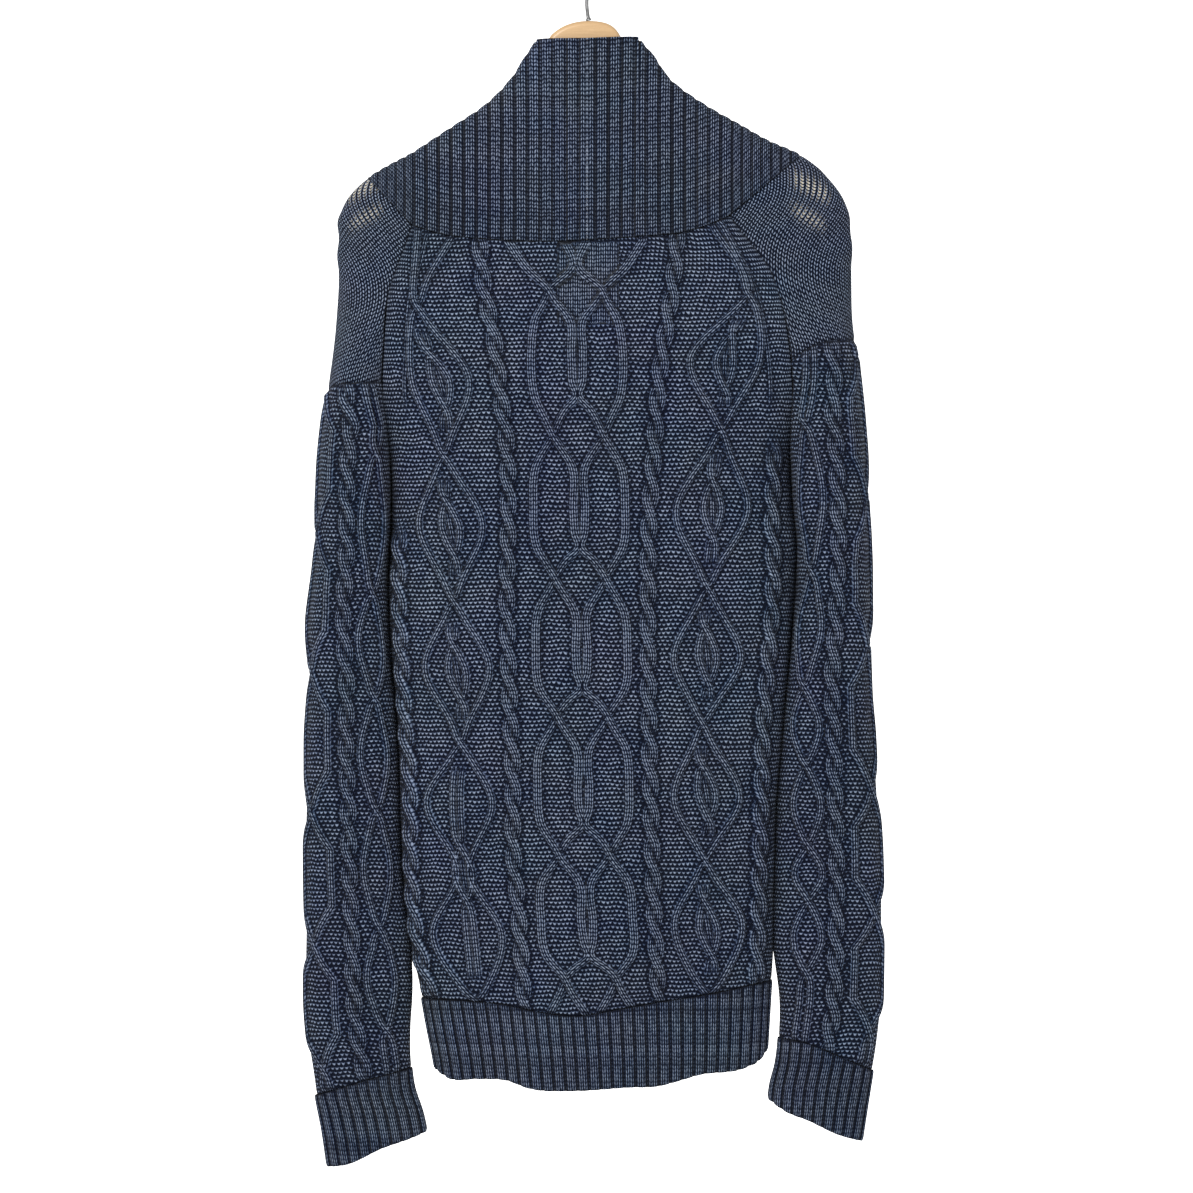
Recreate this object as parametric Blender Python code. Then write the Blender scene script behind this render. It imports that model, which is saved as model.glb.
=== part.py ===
"""Cable knit cardigan hung on a wooden hanger, seen from its back at -Y.

Sizes are in millimetres until a mesh is made. Heights are given as a drop below the
inside top of the hanger's hook, which is the origin, and +X is the picture's right.
Each knitted piece is one wall: fine outer points that carry the cables or ribs, and a
plain, coarser inside. Pieces stand a seam gap apart.
"""
import math
from collections import namedtuple

import bmesh
import bpy
import numpy as np
from mathutils import Vector

MM = 0.001
WALL = 3.0
SEAM_GAP = 0.4
CURVED_GAP = 0.8
FOLD_GAP = 1.4
FRONT_SEAM_CLEAR = 0.3
CABLE_HEIGHT = 2.6
RIB_HEIGHT = 1.5
STRAND_HALF = 4.5
ROUNDNESS = 2.5
LEFT, RIGHT = -1, 1
BACK, FRONT = -1, 1

NECK_DROP = 271.0
CAP_DROP = 394.0
BAND_TOP_DROP = 440.0
BAND_WIDTH = 25.0
BAND_BOTTOM_DROP = 999.0

COLLAR_RIB_PITCH = 11.0
COLLAR_FRONT_PITCH = 22.0
HEM_RIB_PITCH = 10.2
CUFF_RIB_PITCH = 9.4

HANGER_THICKNESS = 11.0
HANGER_INSET = 8.8
HANGER_ROUNDING = 5.0
HANGER_ARM_DEPTH = 34.0
HOOK_WIRE = 3.2
HOOK_RADIUS = 21.6
SHANK_FOOT = (1.5, 80.7)

# Heights where the form changes: the body leaves the collar's form, the sleeve's edge its fold.
COLLAR_BLEND = (255.0, 285.0)
OUTLINE_TOP = 97.0
YOKE_TOP = 249.0
LOOSE_SLEEVE_DROP = 882.0
HEM_MIDDLE = 950.0
PANEL_TOP, PANEL_BOTTOM = 260.0, 925.0
SLIT_OPEN_DROP = 560.0

# Rows and columns of points: enough outside for the cables, fewer on the plain inside.
UPPER_SHARE = 0.15
BACK_ROWS = (8, 29)
FRONT_ROWS = (7, 14)
INSIDE_ROWS = (6, 8)
BACK_INSIDE = 15
FRONT_INSIDE = 8
HEM_ROWS = 3
BAND_COLUMNS, BAND_INSIDE, BAND_ROWS = 7, 3, 13
COLLAR_ROWS = 9
COLLAR_INSIDE_PITCHES = (18.0, 32.0)
SLEEVE_ROWS = 21
SLEEVE_INSIDE = 15
SLEEVE_INSIDE_ROWS = 12
YOKE_COLUMNS, YOKE_INSIDE = 13, 9
YOKE_ROWS = (5, 9)
EDGE_SHARES = (0.0, 0.08, 0.4)
SETTLING_TURNS = 5
ROPE_COLUMNS = {"back": (4, 16, 31, 43), "sleeve": (10, 25)}
ROPE_PITCH = 27.5

# The outline seen from the front or back: the two outer edges at each drop.
Outline = namedtuple("Outline", "drop left right")
OUTLINE = [
    Outline(97, -43, 45), Outline(111, -52.5, 57), Outline(133, -67, 73), Outline(157, -92, 107),
    Outline(171, -113.5, 132), Outline(185, -135, 157), Outline(196, -152, 182),
    Outline(206, -171, 197), Outline(217, -189, 208), Outline(231, -204, 219),
    Outline(249, -213, 226), Outline(268, -215, 228), Outline(297, -214, 228),
    Outline(340, -216, 229), Outline(366, -218.5, 232), Outline(391, -222, 234.5),
    Outline(443, -229, 239), Outline(495, -232, 241), Outline(546, -234, 243.5),
    Outline(598, -240, 244), Outline(649, -239, 243), Outline(701, -242, 247),
    Outline(752, -242, 250), Outline(804, -242.5, 253), Outline(856, -242, 254),
    Outline(907, -242.5, 254), Outline(933, -242, 253), Outline(959, -240, 250),
    Outline(985, -236.5, 246), Outline(1010, -233, 242), Outline(1036, -228, 238),
    Outline(1070, -223, 233),
]

# Raglan seams, then the fold where a sleeve hangs against the body, then the body's edge.
Edge = namedtuple("Edge", "drop left right")
BODY_EDGE = [
    Edge(250, -147, 122), Edge(257, -149.6, 127), Edge(277, -156.5, 143), Edge(297, -164, 157),
    Edge(316, -170, 164), Edge(338, -172.5, 169.5), Edge(364, -174, 173.5), Edge(394, -175.5, 176),
    Edge(458, -169.5, 175), Edge(496, -168.5, 177), Edge(533, -169.5, 180.5), Edge(558, -171, 180),
    Edge(602, -170, 177), Edge(637, -168, 174), Edge(666, -165, 171), Edge(702, -162.5, 168),
    Edge(754, -161, 163.5), Edge(808, -159, 161.5), Edge(843, -156, 160.5), Edge(882, -150.5, 160),
    Edge(907, -145, 158.5), Edge(923, -142, 157.5), Edge(948, -137.5, 156), Edge(973, -132.5, 154.5),
    Edge(1000, -128, 152.5),
]
SLEEVE_EDGE = [
    Edge(882, -151.5, 161), Edge(925, -151, 166), Edge(949, -152.5, 166), Edge(980, -152, 163),
    Edge(1000, -149.5, 158), Edge(1023, -142, 156), Edge(1070, -134, 153),
]

# Half depths front to back, how wide the rounded ends are and how deep the sleeve's fold is.
Section = namedtuple("Section", "drop sleeve body end groove")
SECTION = [
    Section(97, 14.5, 14.5, 48, 1), Section(133, 14.5, 14.5, 48, 1), Section(157, 15, 15, 50, 1),
    Section(196, 17, 17, 52, 1), Section(230, 19, 19, 56, 1), Section(271, 22, 22, 60, 1),
    Section(323, 29, 31, 60, 0.97), Section(364, 36, 40, 60, 0.84), Section(394, 40, 45, 60, 0.66),
    Section(430, 42, 49, 60, 0.40), Section(458, 43, 52, 60, 0.18), Section(480, 43, 54, 60, 0),
    Section(540, 41, 57, 60, 0), Section(600, 38, 58, 60, 0), Section(750, 32, 58, 60, 0),
    Section(900, 27, 53, 60, 0), Section(960, 24, 49, 60, 0), Section(1000, 21, 45, 60, 0),
    Section(1070, 17, 42, 60, 0),
]

# Seams that run across: x, then the drop of the seam there.
Line = namedtuple("Line", "x drop")
NECK_SEAM = [
    Line(-150, 258.5), Line(-125, 266), Line(-89, 270), Line(-43, 272), Line(0, 271),
    Line(43, 268), Line(83, 264), Line(105, 257.5), Line(122, 250),
]
HEM_TOP = [
    Line(-145, 923), Line(-105, 924), Line(-72, 927), Line(-40, 932.5), Line(-6, 935.5),
    Line(26, 930.5), Line(60, 925), Line(97, 919.5), Line(138, 911.5), Line(160, 907.5),
]
HEM_BOTTOM = [
    Line(-130, 984), Line(-120, 990.5), Line(-93, 991), Line(-69, 992), Line(-51, 998), Line(-8, 1000),
    Line(36, 997.5), Line(62, 996.5), Line(78, 992.5), Line(95, 987.5), Line(138, 981), Line(148, 976),
    Line(156, 966),
]
CAP_SEAM = {
    LEFT: [Line(-226, 402), Line(-220, 398), Line(-198, 394.5), Line(-170, 394)],
    RIGHT: [Line(172, 378), Line(189, 365), Line(208, 358), Line(236, 357)],
}
CUFF_TOP = {
    LEFT: [Line(-236, 1008), Line(-195, 995), Line(-150, 983)],
    RIGHT: [Line(156, 956), Line(190, 962), Line(215, 972), Line(246, 986)],
}
CUFF_BOTTOM = {
    LEFT: [Line(-226, 1069), Line(-206, 1066), Line(-176, 1052), Line(-150, 1043), Line(-138, 1038)],
    RIGHT: [Line(156, 1010), Line(170, 1020), Line(190, 1028), Line(215, 1040), Line(238, 1047)],
}

# The collar's ribs: where a rib starts on the seam and where it ends at the free edge.
# The seam goes over the shoulder at FRONT_ROW, and meets the front's raglan in the next row.
FRONT_ROW = 5
Rib = namedtuple("Rib", "foot_x foot_drop foot_side free_x free_drop")
COLLAR_RIBS = {
    LEFT: [
        Rib(0, 271, BACK, 0, 97), Rib(-43, 272, BACK, -43, 97), Rib(-89, 270, BACK, -41, 157),
        Rib(-125, 266, BACK, -34, 219), Rib(-150, 258.5, BACK, -27, 260), Rib(-189, 217, FRONT, -20, 300),
        Rib(-150, 258.5, FRONT, -16, 340), Rib(-88, 348.5, FRONT, -8, 388), Rib(-26, 439, FRONT, -2, 439),
    ],
    RIGHT: [
        Rib(0, 271, BACK, 0, 97), Rib(43, 268, BACK, 44, 95), Rib(83, 264, BACK, 40, 150),
        Rib(122, 250, BACK, 33, 210), Rib(150, 226.5, BACK, 27, 255), Rib(184, 197.5, FRONT, 20, 296),
        Rib(122, 250, FRONT, 16, 336), Rib(74, 344.5, FRONT, 8, 386), Rib(26, 438.5, FRONT, 2, 438.5),
    ],
}

# Cables: the middle line of each raised strand. A pair that comes close is a crossing.
Strand = namedtuple("Strand", "drop x")
SIDE_ROPE = {
    LEFT: [Strand(300, -160), Strand(394, -163), Strand(460, -158), Strand(543, -161), Strand(610, -160),
           Strand(675, -156), Strand(740, -151), Strand(820, -150), Strand(871, -145), Strand(930, -131)],
    RIGHT: [Strand(300, 150), Strand(394, 164), Strand(460, 160), Strand(510, 158), Strand(560, 159),
            Strand(642, 154), Strand(692, 150), Strand(741, 149), Strand(820, 147), Strand(930, 144)],
}
INNER_ROPE = {
    LEFT: [Strand(262, -93), Strand(315, -88), Strand(361, -79), Strand(397, -75), Strand(453, -68),
           Strand(500, -67), Strand(593, -68), Strand(659, -66), Strand(741, -63), Strand(786, -63),
           Strand(854, -58), Strand(935, -53)],
    RIGHT: [Strand(262, 78), Strand(297, 75), Strand(335, 70), Strand(371, 64), Strand(409, 60),
            Strand(443, 58), Strand(511, 53), Strand(593, 52), Strand(741, 54), Strand(838, 57),
            Strand(935, 62)],
}
Diamond = namedtuple("Diamond", "drop left right")
DIAMOND = {
    LEFT: [Diamond(262, -145, -113), Diamond(329, -150, -141), Diamond(391, -150, -101),
           Diamond(457, -126, -117), Diamond(516, -143, -89), Diamond(581, -118, -109),
           Diamond(637, -138, -83), Diamond(703, -112, -103), Diamond(751, -136, -81),
           Diamond(815, -110, -100), Diamond(866, -131, -73), Diamond(925, -99, -90)],
    RIGHT: [Diamond(250, 103, 112), Diamond(319, 134, 143), Diamond(373, 89, 148),
            Diamond(435, 110, 119), Diamond(504, 76, 137), Diamond(570, 98, 107),
            Diamond(630, 74, 131), Diamond(686, 94, 103), Diamond(751, 74, 130),
            Diamond(803, 96, 105), Diamond(857, 75, 132), Diamond(920, 100, 109)],
}
Lattice = namedtuple("Lattice", "drop axis outer inner")
LATTICE = [
    Lattice(272, -10, 56, 28), Lattice(316, -9.5, 25, 17), Lattice(343, -9, 36, 5),
    Lattice(366, -8.5, 39, 5), Lattice(405, -8, 37, 6), Lattice(440, -7.5, 25, 18),
    Lattice(469, -7, 37, 5), Lattice(500, -6.5, 39, 5), Lattice(534, -6, 37, 6),
    Lattice(562, -5.5, 25, 18), Lattice(592, -5, 37, 5), Lattice(622, -4.5, 39, 5),
    Lattice(654, -4, 37, 6), Lattice(680, -3.5, 25, 18), Lattice(709, -3.4, 37, 5),
    Lattice(740, -3, 39, 5), Lattice(770, -2.5, 37, 6), Lattice(798, -2, 25, 18),
    Lattice(822, -1.5, 37, 5), Lattice(852, 0, 39, 5), Lattice(882, 2, 37, 6),
    Lattice(904, 3.5, 25, 18), Lattice(935, 5, 37, 5),
]

# The sleeve's cables lie either side of its middle, which is its outer edge as it hangs.
SLEEVE_CROSSINGS = {LEFT: (402, 521, 641, 762, 876, 984), RIGHT: (372, 493, 619, 744, 850, 952)}
DIAMOND_CROSSINGS = {LEFT: (455, 575, 665, 762, 862, 950), RIGHT: (430, 555, 655, 722, 791, 839, 900)}
SLEEVE_LATTICE_HALF = 40.0
SLEEVE_ROPE_ARC = 56.0
SLEEVE_DIAMOND_ARC = 80.0
SLEEVE_DIAMOND_HALF = 12.0
SLEEVE_HALF_GIRTH = 110.0

# Soft folds that the cloth hangs in: a centre, a reach along and across, and a depth.
Fold = namedtuple("Fold", "side x drop lean half_length half_width depth")
FOLDS = [
    Fold(BACK, -75, 900, 0.06, 90, 26, -4), Fold(BACK, -20, 930, 0.0, 90, 34, 5),
    Fold(BACK, 78, 900, -0.05, 95, 28, -4), Fold(FRONT, -92, 860, 0.05, 130, 30, -5),
    Fold(FRONT, 96, 850, -0.05, 130, 30, -5), Fold(BACK, -205, 600, 2.0, 14, 34, -3),
    Fold(BACK, 212, 560, -2.2, 14, 34, -3), Fold(BACK, -200, 950, 2.4, 12, 32, 3),
    Fold(BACK, 212, 930, -2.4, 12, 32, 3),
]


def along(rows, column, at, key="drop"):
    """A table's column at any drop (or x), as a smooth line through its rows."""
    places = np.array([getattr(row, key) for row in rows], float)
    values = np.array([getattr(row, column) for row in rows], float)
    slopes = np.gradient(values, places)
    at = np.clip(np.asarray(at, float), places[0], places[-1])
    low = np.clip(np.searchsorted(places, at, side="right") - 1, 0, len(rows) - 2)
    span = places[low + 1] - places[low]
    t = (at - places[low]) / span
    rise = values[low] * (1 + 2 * t) * (1 - t) ** 2 + values[low + 1] * t * t * (3 - 2 * t)
    bend = slopes[low] * t * (1 - t) ** 2 - slopes[low + 1] * t * t * (1 - t)
    return rise + bend * span


def across(rows, x):
    """The drop of a seam that runs across, at x."""
    return along(rows, "drop", x, key="x")


def ease(start, stop, at):
    t = np.clip((np.asarray(at, float) - start) / (stop - start), 0, 1)
    return t * t * (3 - 2 * t)


def side_name(side):
    return "left" if side == LEFT else "right"


# ---------------------------------------------------------------- the hung form

def outer_x(side, drop):
    return along(OUTLINE, side_name(side), drop)


def edge_x(side, drop):
    """Where the body's edge is: the raglan, then the fold beside the sleeve."""
    return along(BODY_EDGE, side_name(side), drop)


def sleeve_edge_x(side, drop):
    """The sleeve's edge that faces the body, which swings clear of it lower down."""
    beside = edge_x(side, np.minimum(drop, LOOSE_SLEEVE_DROP))
    loose = along(SLEEVE_EDGE, side_name(side), drop)
    return np.where(np.asarray(drop) < LOOSE_SLEEVE_DROP, beside, loose)


def sleeve_shape(side, drop):
    """Middle, outer and inner reach and half depth of the sleeve's section."""
    outer = outer_x(side, drop)
    inner = sleeve_edge_x(side, drop)
    middle_of_all = (outer_x(LEFT, drop) + outer_x(RIGHT, drop)) / 2
    most = np.abs(outer - middle_of_all)
    top_reach = np.minimum(along(SECTION, "end", drop), most)
    reach = top_reach + (np.abs(outer - inner) / 2 - top_reach) * ease(NECK_DROP, CAP_DROP, drop)
    middle = outer - side * reach
    groove = np.clip(along(SECTION, "groove", drop), 0, 0.9999)
    inward = np.maximum(np.abs(inner - middle), 1.0) / (1 - groove ** ROUNDNESS) ** (1 / ROUNDNESS)
    return middle, reach, inward, along(SECTION, "sleeve", drop)


def sleeve_power(side, x, drop):
    """Half depth of the sleeve to the power ROUNDNESS, below zero outside it."""
    middle, reach, inward, depth = sleeve_shape(side, drop)
    outside = side * (x - middle)
    q = np.where(outside > 0, outside / reach, -outside / inward)
    return depth ** ROUNDNESS * (1 - q ** ROUNDNESS)


def upper_power(x, drop):
    """The form over the hanger, from the collar's top down to the yokes."""
    middle = (outer_x(LEFT, drop) + outer_x(RIGHT, drop)) / 2
    parts = []
    for side in (LEFT, RIGHT):
        centre, reach, _, depth = sleeve_shape(side, drop)
        q = np.maximum(side * (x - centre), 0) / reach
        parts.append(depth ** ROUNDNESS * (1 - q ** ROUNDNESS))
    return np.where(x < middle, parts[0], parts[1])


def body_power(x, drop):
    """The body's oval, drawn through both seams, and flush with the collar at its neck."""
    left = edge_x(LEFT, drop)
    right = edge_x(RIGHT, drop)
    middle = (left + right) / 2
    half = (right - left) / 2
    depth = along(SECTION, "body", drop)
    powers = []
    for side, edge in ((LEFT, left), (RIGHT, right)):
        seam = np.maximum(sleeve_power(side, edge, drop), 0) ** (1 / ROUNDNESS)
        seam = np.where(np.asarray(drop) > LOOSE_SLEEVE_DROP - 12, 0, seam)
        full = np.maximum(depth, seam / 0.985)
        reach = half / (1 - (seam / full) ** ROUNDNESS) ** (1 / ROUNDNESS)
        powers.append(full ** ROUNDNESS * (1 - (np.abs(x - middle) / reach) ** ROUNDNESS))
    own = np.where(x < middle, powers[0], powers[1])
    blend = ease(*COLLAR_BLEND, drop)
    return own * blend + upper_power(x, drop) * (1 - blend)


def collar_power(x, drop):
    over = upper_power(x, drop)
    below = body_power(x, np.maximum(drop, COLLAR_BLEND[0] - 5))
    return np.where(np.asarray(drop) < COLLAR_BLEND[0], over, below)


def left_sleeve_power(x, drop):
    return sleeve_power(LEFT, x, drop)


def right_sleeve_power(x, drop):
    return sleeve_power(RIGHT, x, drop)


def fold_depth(x, y, drop):
    """How far the soft folds move the cloth out along its own direction."""
    total = np.zeros(np.shape(x))
    for fold in FOLDS:
        along_fold = (drop - fold.drop) / fold.half_length
        shifted = (x - fold.x - fold.lean * (drop - fold.drop)) / fold.half_width
        if abs(fold.lean) > 1:
            shifted = (x - fold.x) / fold.half_width
            along_fold = (drop - fold.drop - (x - fold.x) / fold.lean) / fold.half_length
        on_side = ease(4, 16, y * fold.side)
        total = total + fold.depth * on_side * np.exp(-along_fold ** 2 - shifted ** 2)
    return total


def surface(power, x, drop, face):
    """Points and outward directions of the cloth's outer face, before cables."""
    x = np.asarray(x, float)
    drop = np.asarray(drop, float)
    step = 0.05
    value = power(x, drop)
    y = face * np.maximum(value, 0) ** (1 / ROUNDNESS)
    out_x = -(power(x + step, drop) - power(x - step, drop)) / (2 * step)
    out_z = (power(x, drop + step) - power(x, drop - step)) / (2 * step)
    out_y = ROUNDNESS * np.abs(y) ** (ROUNDNESS - 1) * face
    normal = np.stack([out_x, out_y, out_z], -1)
    normal /= np.linalg.norm(normal, axis=-1, keepdims=True)
    point = np.stack([x, y, -drop], -1)
    return point + normal * fold_depth(x, y, drop)[..., None], normal


# ---------------------------------------------------------------- making a wall

def run_length(points):
    """The length of a line of points, up to each of them."""
    steps = np.linalg.norm(np.diff(points, axis=0), axis=1)
    return np.concatenate([[0], np.cumsum(steps)])


def walked(points):
    """How far along a row of points each one lies, from 0 to 1."""
    total = run_length(points)
    return total / total[-1]


def zip_rim(bm, fine, fine_at, coarse, coarse_at):
    """Closes the rim between a fine row of points and the coarse row inside it."""
    i, k = 0, 0
    while i < len(fine) - 1 or k < len(coarse) - 1:
        next_fine = fine_at[i + 1] if i < len(fine) - 1 else 2.0
        next_coarse = (coarse_at[k + 1] + coarse_at[k]) / 2 if k < len(coarse) - 1 else 2.0
        if next_fine <= next_coarse:
            bm.faces.new((fine[i], fine[i + 1], coarse[k]))
            i += 1
        else:
            bm.faces.new((fine[i], coarse[k + 1], coarse[k]))
            k += 1


def moved_grid(bm, places):
    """A grid of points, each moved to its place."""
    columns, rows = places.shape[:2]
    made = bmesh.ops.create_grid(bm, x_segments=rows - 1, y_segments=columns - 1, size=1.0)["verts"]
    lines = [made[i * rows:(i + 1) * rows] for i in range(columns)]
    for i in range(columns):
        for j in range(rows):
            lines[i][j].co = Vector(places[i, j] * MM)
    return lines


def cloth_wall(name, outside, heights, inside, material):
    """One knitted piece: points raised outside, coarser points set in by the wall inside."""
    points, normals = outside
    under_points, under_normals = inside
    bm = bmesh.new()
    outer = moved_grid(bm, points + normals * heights[..., None])
    inner = moved_grid(bm, under_points - under_normals * WALL)
    for end in (0, -1):
        zip_rim(bm, outer[end], walked(points[end]), inner[end], walked(under_points[end]))
        zip_rim(bm, [line[end] for line in outer], walked(points[:, end]),
                [line[end] for line in inner], walked(under_points[:, end]))
    bmesh.ops.triangulate(bm, faces=[face for face in bm.faces if len(face.verts) > 3])
    bmesh.ops.recalc_face_normals(bm, faces=bm.faces)
    if bm.calc_volume(signed=True) < 0:
        bmesh.ops.reverse_faces(bm, faces=bm.faces)
    return finish_piece(name, bm, material)


def finish_piece(name, bm, material):
    mesh = bpy.data.meshes.new(name)
    bm.to_mesh(mesh)
    bm.free()
    mesh.shade_smooth()
    mesh.set_sharp_from_angle(angle=math.radians(40))
    mesh.materials.append(material)
    piece = bpy.data.objects.new(name, mesh)
    PARTS.objects.link(piece)
    return piece


# ---------------------------------------------------------------- body panels

def strand_columns(tops, low_edge, high_edge):
    """Columns of points: three to a strand, then two that ease each edge round."""
    tops = np.array(tops)
    spaces = np.diff(tops, axis=0)
    near = np.minimum(STRAND_HALF, 0.4 * np.maximum(spaces, 2.0))
    lines = []
    heights = []
    count = len(tops)
    for k in range(count):
        left = np.full(tops.shape[1], STRAND_HALF) if k == 0 else near[k - 1]
        right = np.full(tops.shape[1], STRAND_HALF) if k == count - 1 else near[k]
        close_left = 0 if k == 0 else np.clip((12 - spaces[k - 1]) / 4, 0, 0.8)
        close_right = 0 if k == count - 1 else np.clip((12 - spaces[k]) / 4, 0, 0.8)
        lines += [tops[k] - left, tops[k], tops[k] + right]
        heights += [close_left + 0 * tops[k], np.ones_like(tops[k]), close_right + 0 * tops[k]]
    first = [low_edge + (lines[0] - low_edge) * share for share in EDGE_SHARES]
    last = [high_edge + (lines[-1] - high_edge) * share for share in EDGE_SHARES[::-1]]
    flat = [np.zeros_like(tops[0])] * 3
    return np.array(first + lines + last), np.array(flat + heights + flat)


def squeeze(lines, low, high, least=0.9):
    """Keeps every column between the two edges, in order and a little apart."""
    lines[0] = low
    for k in range(1, len(lines)):
        lines[k] = np.maximum(lines[k], lines[k - 1] + least)
    lines[-1] = high
    for k in range(len(lines) - 2, 0, -1):
        lines[k] = np.minimum(lines[k], lines[k + 1] - least)
    return lines


def rope_height(drop):
    """A rope cable swells and sinks once in each of its twists."""
    return 0.85 + 0.3 * np.cos(2 * math.pi * drop / ROPE_PITCH)


def diamond_lines(side, drop):
    left = along(DIAMOND[side], "left", drop)
    right = along(DIAMOND[side], "right", drop)
    return [left, (left + right) / 2, right]


def lattice_lines(drop):
    axis = along(LATTICE, "axis", drop)
    outer = along(LATTICE, "outer", drop)
    inner = along(LATTICE, "inner", drop)
    return [axis - outer, axis - inner, axis + inner, axis + outer]


def side_group(side, drop):
    """The cables beside the lattice, from left to right."""
    group = [along(SIDE_ROPE[side], "x", drop), *diamond_lines(side, drop),
             along(INNER_ROPE[side], "x", drop)]
    return group if side == LEFT else group[::-1][:1] + diamond_lines(side, drop) + group[:1]


def panel_steps(rows):
    """Shares down a panel: closer rows where its raglans turn, then even ones."""
    upper_rows, lower_rows = rows
    upper = np.linspace(0, UPPER_SHARE, upper_rows)
    return np.concatenate([upper, np.linspace(UPPER_SHARE, 1, lower_rows + 1)[1:]])


def panel_grid(tops_at, low_at, high_at, top_line, bottom_line, steps):
    """Columns that follow the cables between two cross seams, settled over a few turns."""
    strands = len(tops_at(np.zeros(1)))
    drop = np.tile(PANEL_TOP + (PANEL_BOTTOM - PANEL_TOP) * steps, (3 * strands + 6, 1))
    for _ in range(SETTLING_TURNS):
        tops = [tops_at(drop[3 * k + 4])[k] for k in range(strands)]
        lines, heights = strand_columns(tops, low_at(drop[0]), high_at(drop[-1]))
        lines = squeeze(lines, low_at(drop[0]), high_at(drop[-1]))
        top = top_line(lines[:, :1])
        bottom = bottom_line(lines[:, -1:])
        drop = top + (bottom - top) * steps
    return lines, drop, heights


def fade(heights, last=True):
    """Cables sink to nothing at the first row, and at the last, where a piece joins."""
    heights = heights.copy()
    heights[:, 0] = 0
    if last:
        heights[:, -1] = 0
    return heights


def rib_heights(columns, rows):
    """Every other column is a rib's crest, from just below the seam down."""
    crest = (np.arange(columns) % 2)[:, None] * np.ones(rows)
    return fade(crest, last=False) * RIB_HEIGHT


def body_gap(drop):
    """Half the slit beside the body, which widens under the arm."""
    return SEAM_GAP / 2 + (FOLD_GAP - SEAM_GAP) / 2 * ease(CAP_DROP, SLIT_OPEN_DROP, drop)


def body_edge_low(drop):
    return edge_x(LEFT, drop) + body_gap(drop)


def body_edge_high(drop):
    return edge_x(RIGHT, drop) - body_gap(drop)


def on_body(lines, drop, face):
    """Body points, with the two halves kept a seam gap apart at the sides."""
    points, normals = surface(body_power, lines, drop, face)
    points[..., 1] = face * np.maximum(face * points[..., 1], SEAM_GAP / 2)
    return points, normals


def rounded_shares(count):
    """Shares from 0 to 1, closer together near the ends, where the body turns."""
    return (1 - np.cos(math.pi * np.linspace(0, 1, count))) / 2


def plain_body(low_at, high_at, top_line, bottom_line, face, columns, steps):
    """The plain inside of a body piece, at its own coarser points."""
    shares = rounded_shares(columns)[:, None]
    drop = np.tile(PANEL_TOP + (PANEL_BOTTOM - PANEL_TOP) * steps, (columns, 1))
    for _ in range(SETTLING_TURNS):
        lines = low_at(drop) + (high_at(drop) - low_at(drop)) * shares
        top = top_line(lines[:, :1])
        bottom = bottom_line(lines[:, -1:])
        drop = top + (bottom - top) * steps
    return on_body(lines, drop, face)


def hem_top_at(x):
    return across(HEM_TOP, x)


def hem_bottom_at(x):
    return across(HEM_BOTTOM, x)


def make_back():
    def tops_at(drop):
        return side_group(LEFT, drop) + lattice_lines(drop) + side_group(RIGHT, drop)

    def top_line(x):
        return across(NECK_SEAM, x) + CURVED_GAP / 2

    def bottom_line(x):
        return hem_top_at(x) - CURVED_GAP / 2

    edges = (body_edge_low, body_edge_high, top_line, bottom_line)
    lines, drop, heights = panel_grid(tops_at, *edges, panel_steps(BACK_ROWS))
    for rope in ROPE_COLUMNS["back"]:
        heights[rope] = heights[rope] * rope_height(drop[rope])
    inside = plain_body(*edges, BACK, BACK_INSIDE, panel_steps(INSIDE_ROWS))
    return cloth_wall("back", on_body(lines, drop, BACK), fade(heights) * CABLE_HEIGHT, inside, KNIT)


def front_edges(side):
    """A front piece's two edges: the body's edge and the band's."""
    band = side * (BAND_WIDTH + SEAM_GAP)

    def band_edge(drop):
        return np.full(np.shape(drop), band)

    return (body_edge_low, band_edge) if side == LEFT else (band_edge, body_edge_high)


def make_front(side):
    """A front with the back's side cables, cut by the collar's seam and edged by its band."""
    seam = sorted((rib.foot_x, rib.foot_drop) for rib in COLLAR_RIBS[side][FRONT_ROW + 1:])
    seam_x, seam_drop = zip(*seam)

    def top_line(x):
        return np.interp(x, seam_x, seam_drop) + CURVED_GAP / 2

    def bottom_line(x):
        return hem_top_at(x) - CURVED_GAP / 2

    def tops_at(drop):
        return side_group(side, drop)

    edges = (*front_edges(side), top_line, bottom_line)
    lines, drop, heights = panel_grid(tops_at, *edges, panel_steps(FRONT_ROWS))
    inside = plain_body(*edges, FRONT, FRONT_INSIDE, panel_steps(INSIDE_ROWS))
    name = "front_" + side_name(side)
    return cloth_wall(name, on_body(lines, drop, FRONT), fade(heights) * CABLE_HEIGHT, inside, KNIT)


# ---------------------------------------------------------------- hem and bands

def hem_piece(name, face, edges, inside_columns):
    """A ribbed strip from the panel's seam down to the hem's wavy lower edge."""
    low_at, high_at = edges

    def top_line(x):
        return hem_top_at(x) + CURVED_GAP / 2

    middle = np.array(HEM_MIDDLE)
    ribs = round(float(high_at(middle) - low_at(middle)) / HEM_RIB_PITCH)
    shares = np.linspace(0, 1, 2 * ribs + 1)[:, None]
    steps = np.linspace(0, 1, HEM_ROWS)
    drop = np.full((len(shares), HEM_ROWS), HEM_MIDDLE)
    for _ in range(SETTLING_TURNS):
        lines = low_at(drop) + (high_at(drop) - low_at(drop)) * shares
        top = top_line(lines[:, :1])
        drop = top + (hem_bottom_at(lines[:, -1:]) - top) * steps
    inside = plain_body(low_at, high_at, top_line, hem_bottom_at, face, inside_columns, steps)
    return cloth_wall(name, on_body(lines, drop, face), rib_heights(*lines.shape), inside, RIB)


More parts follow.
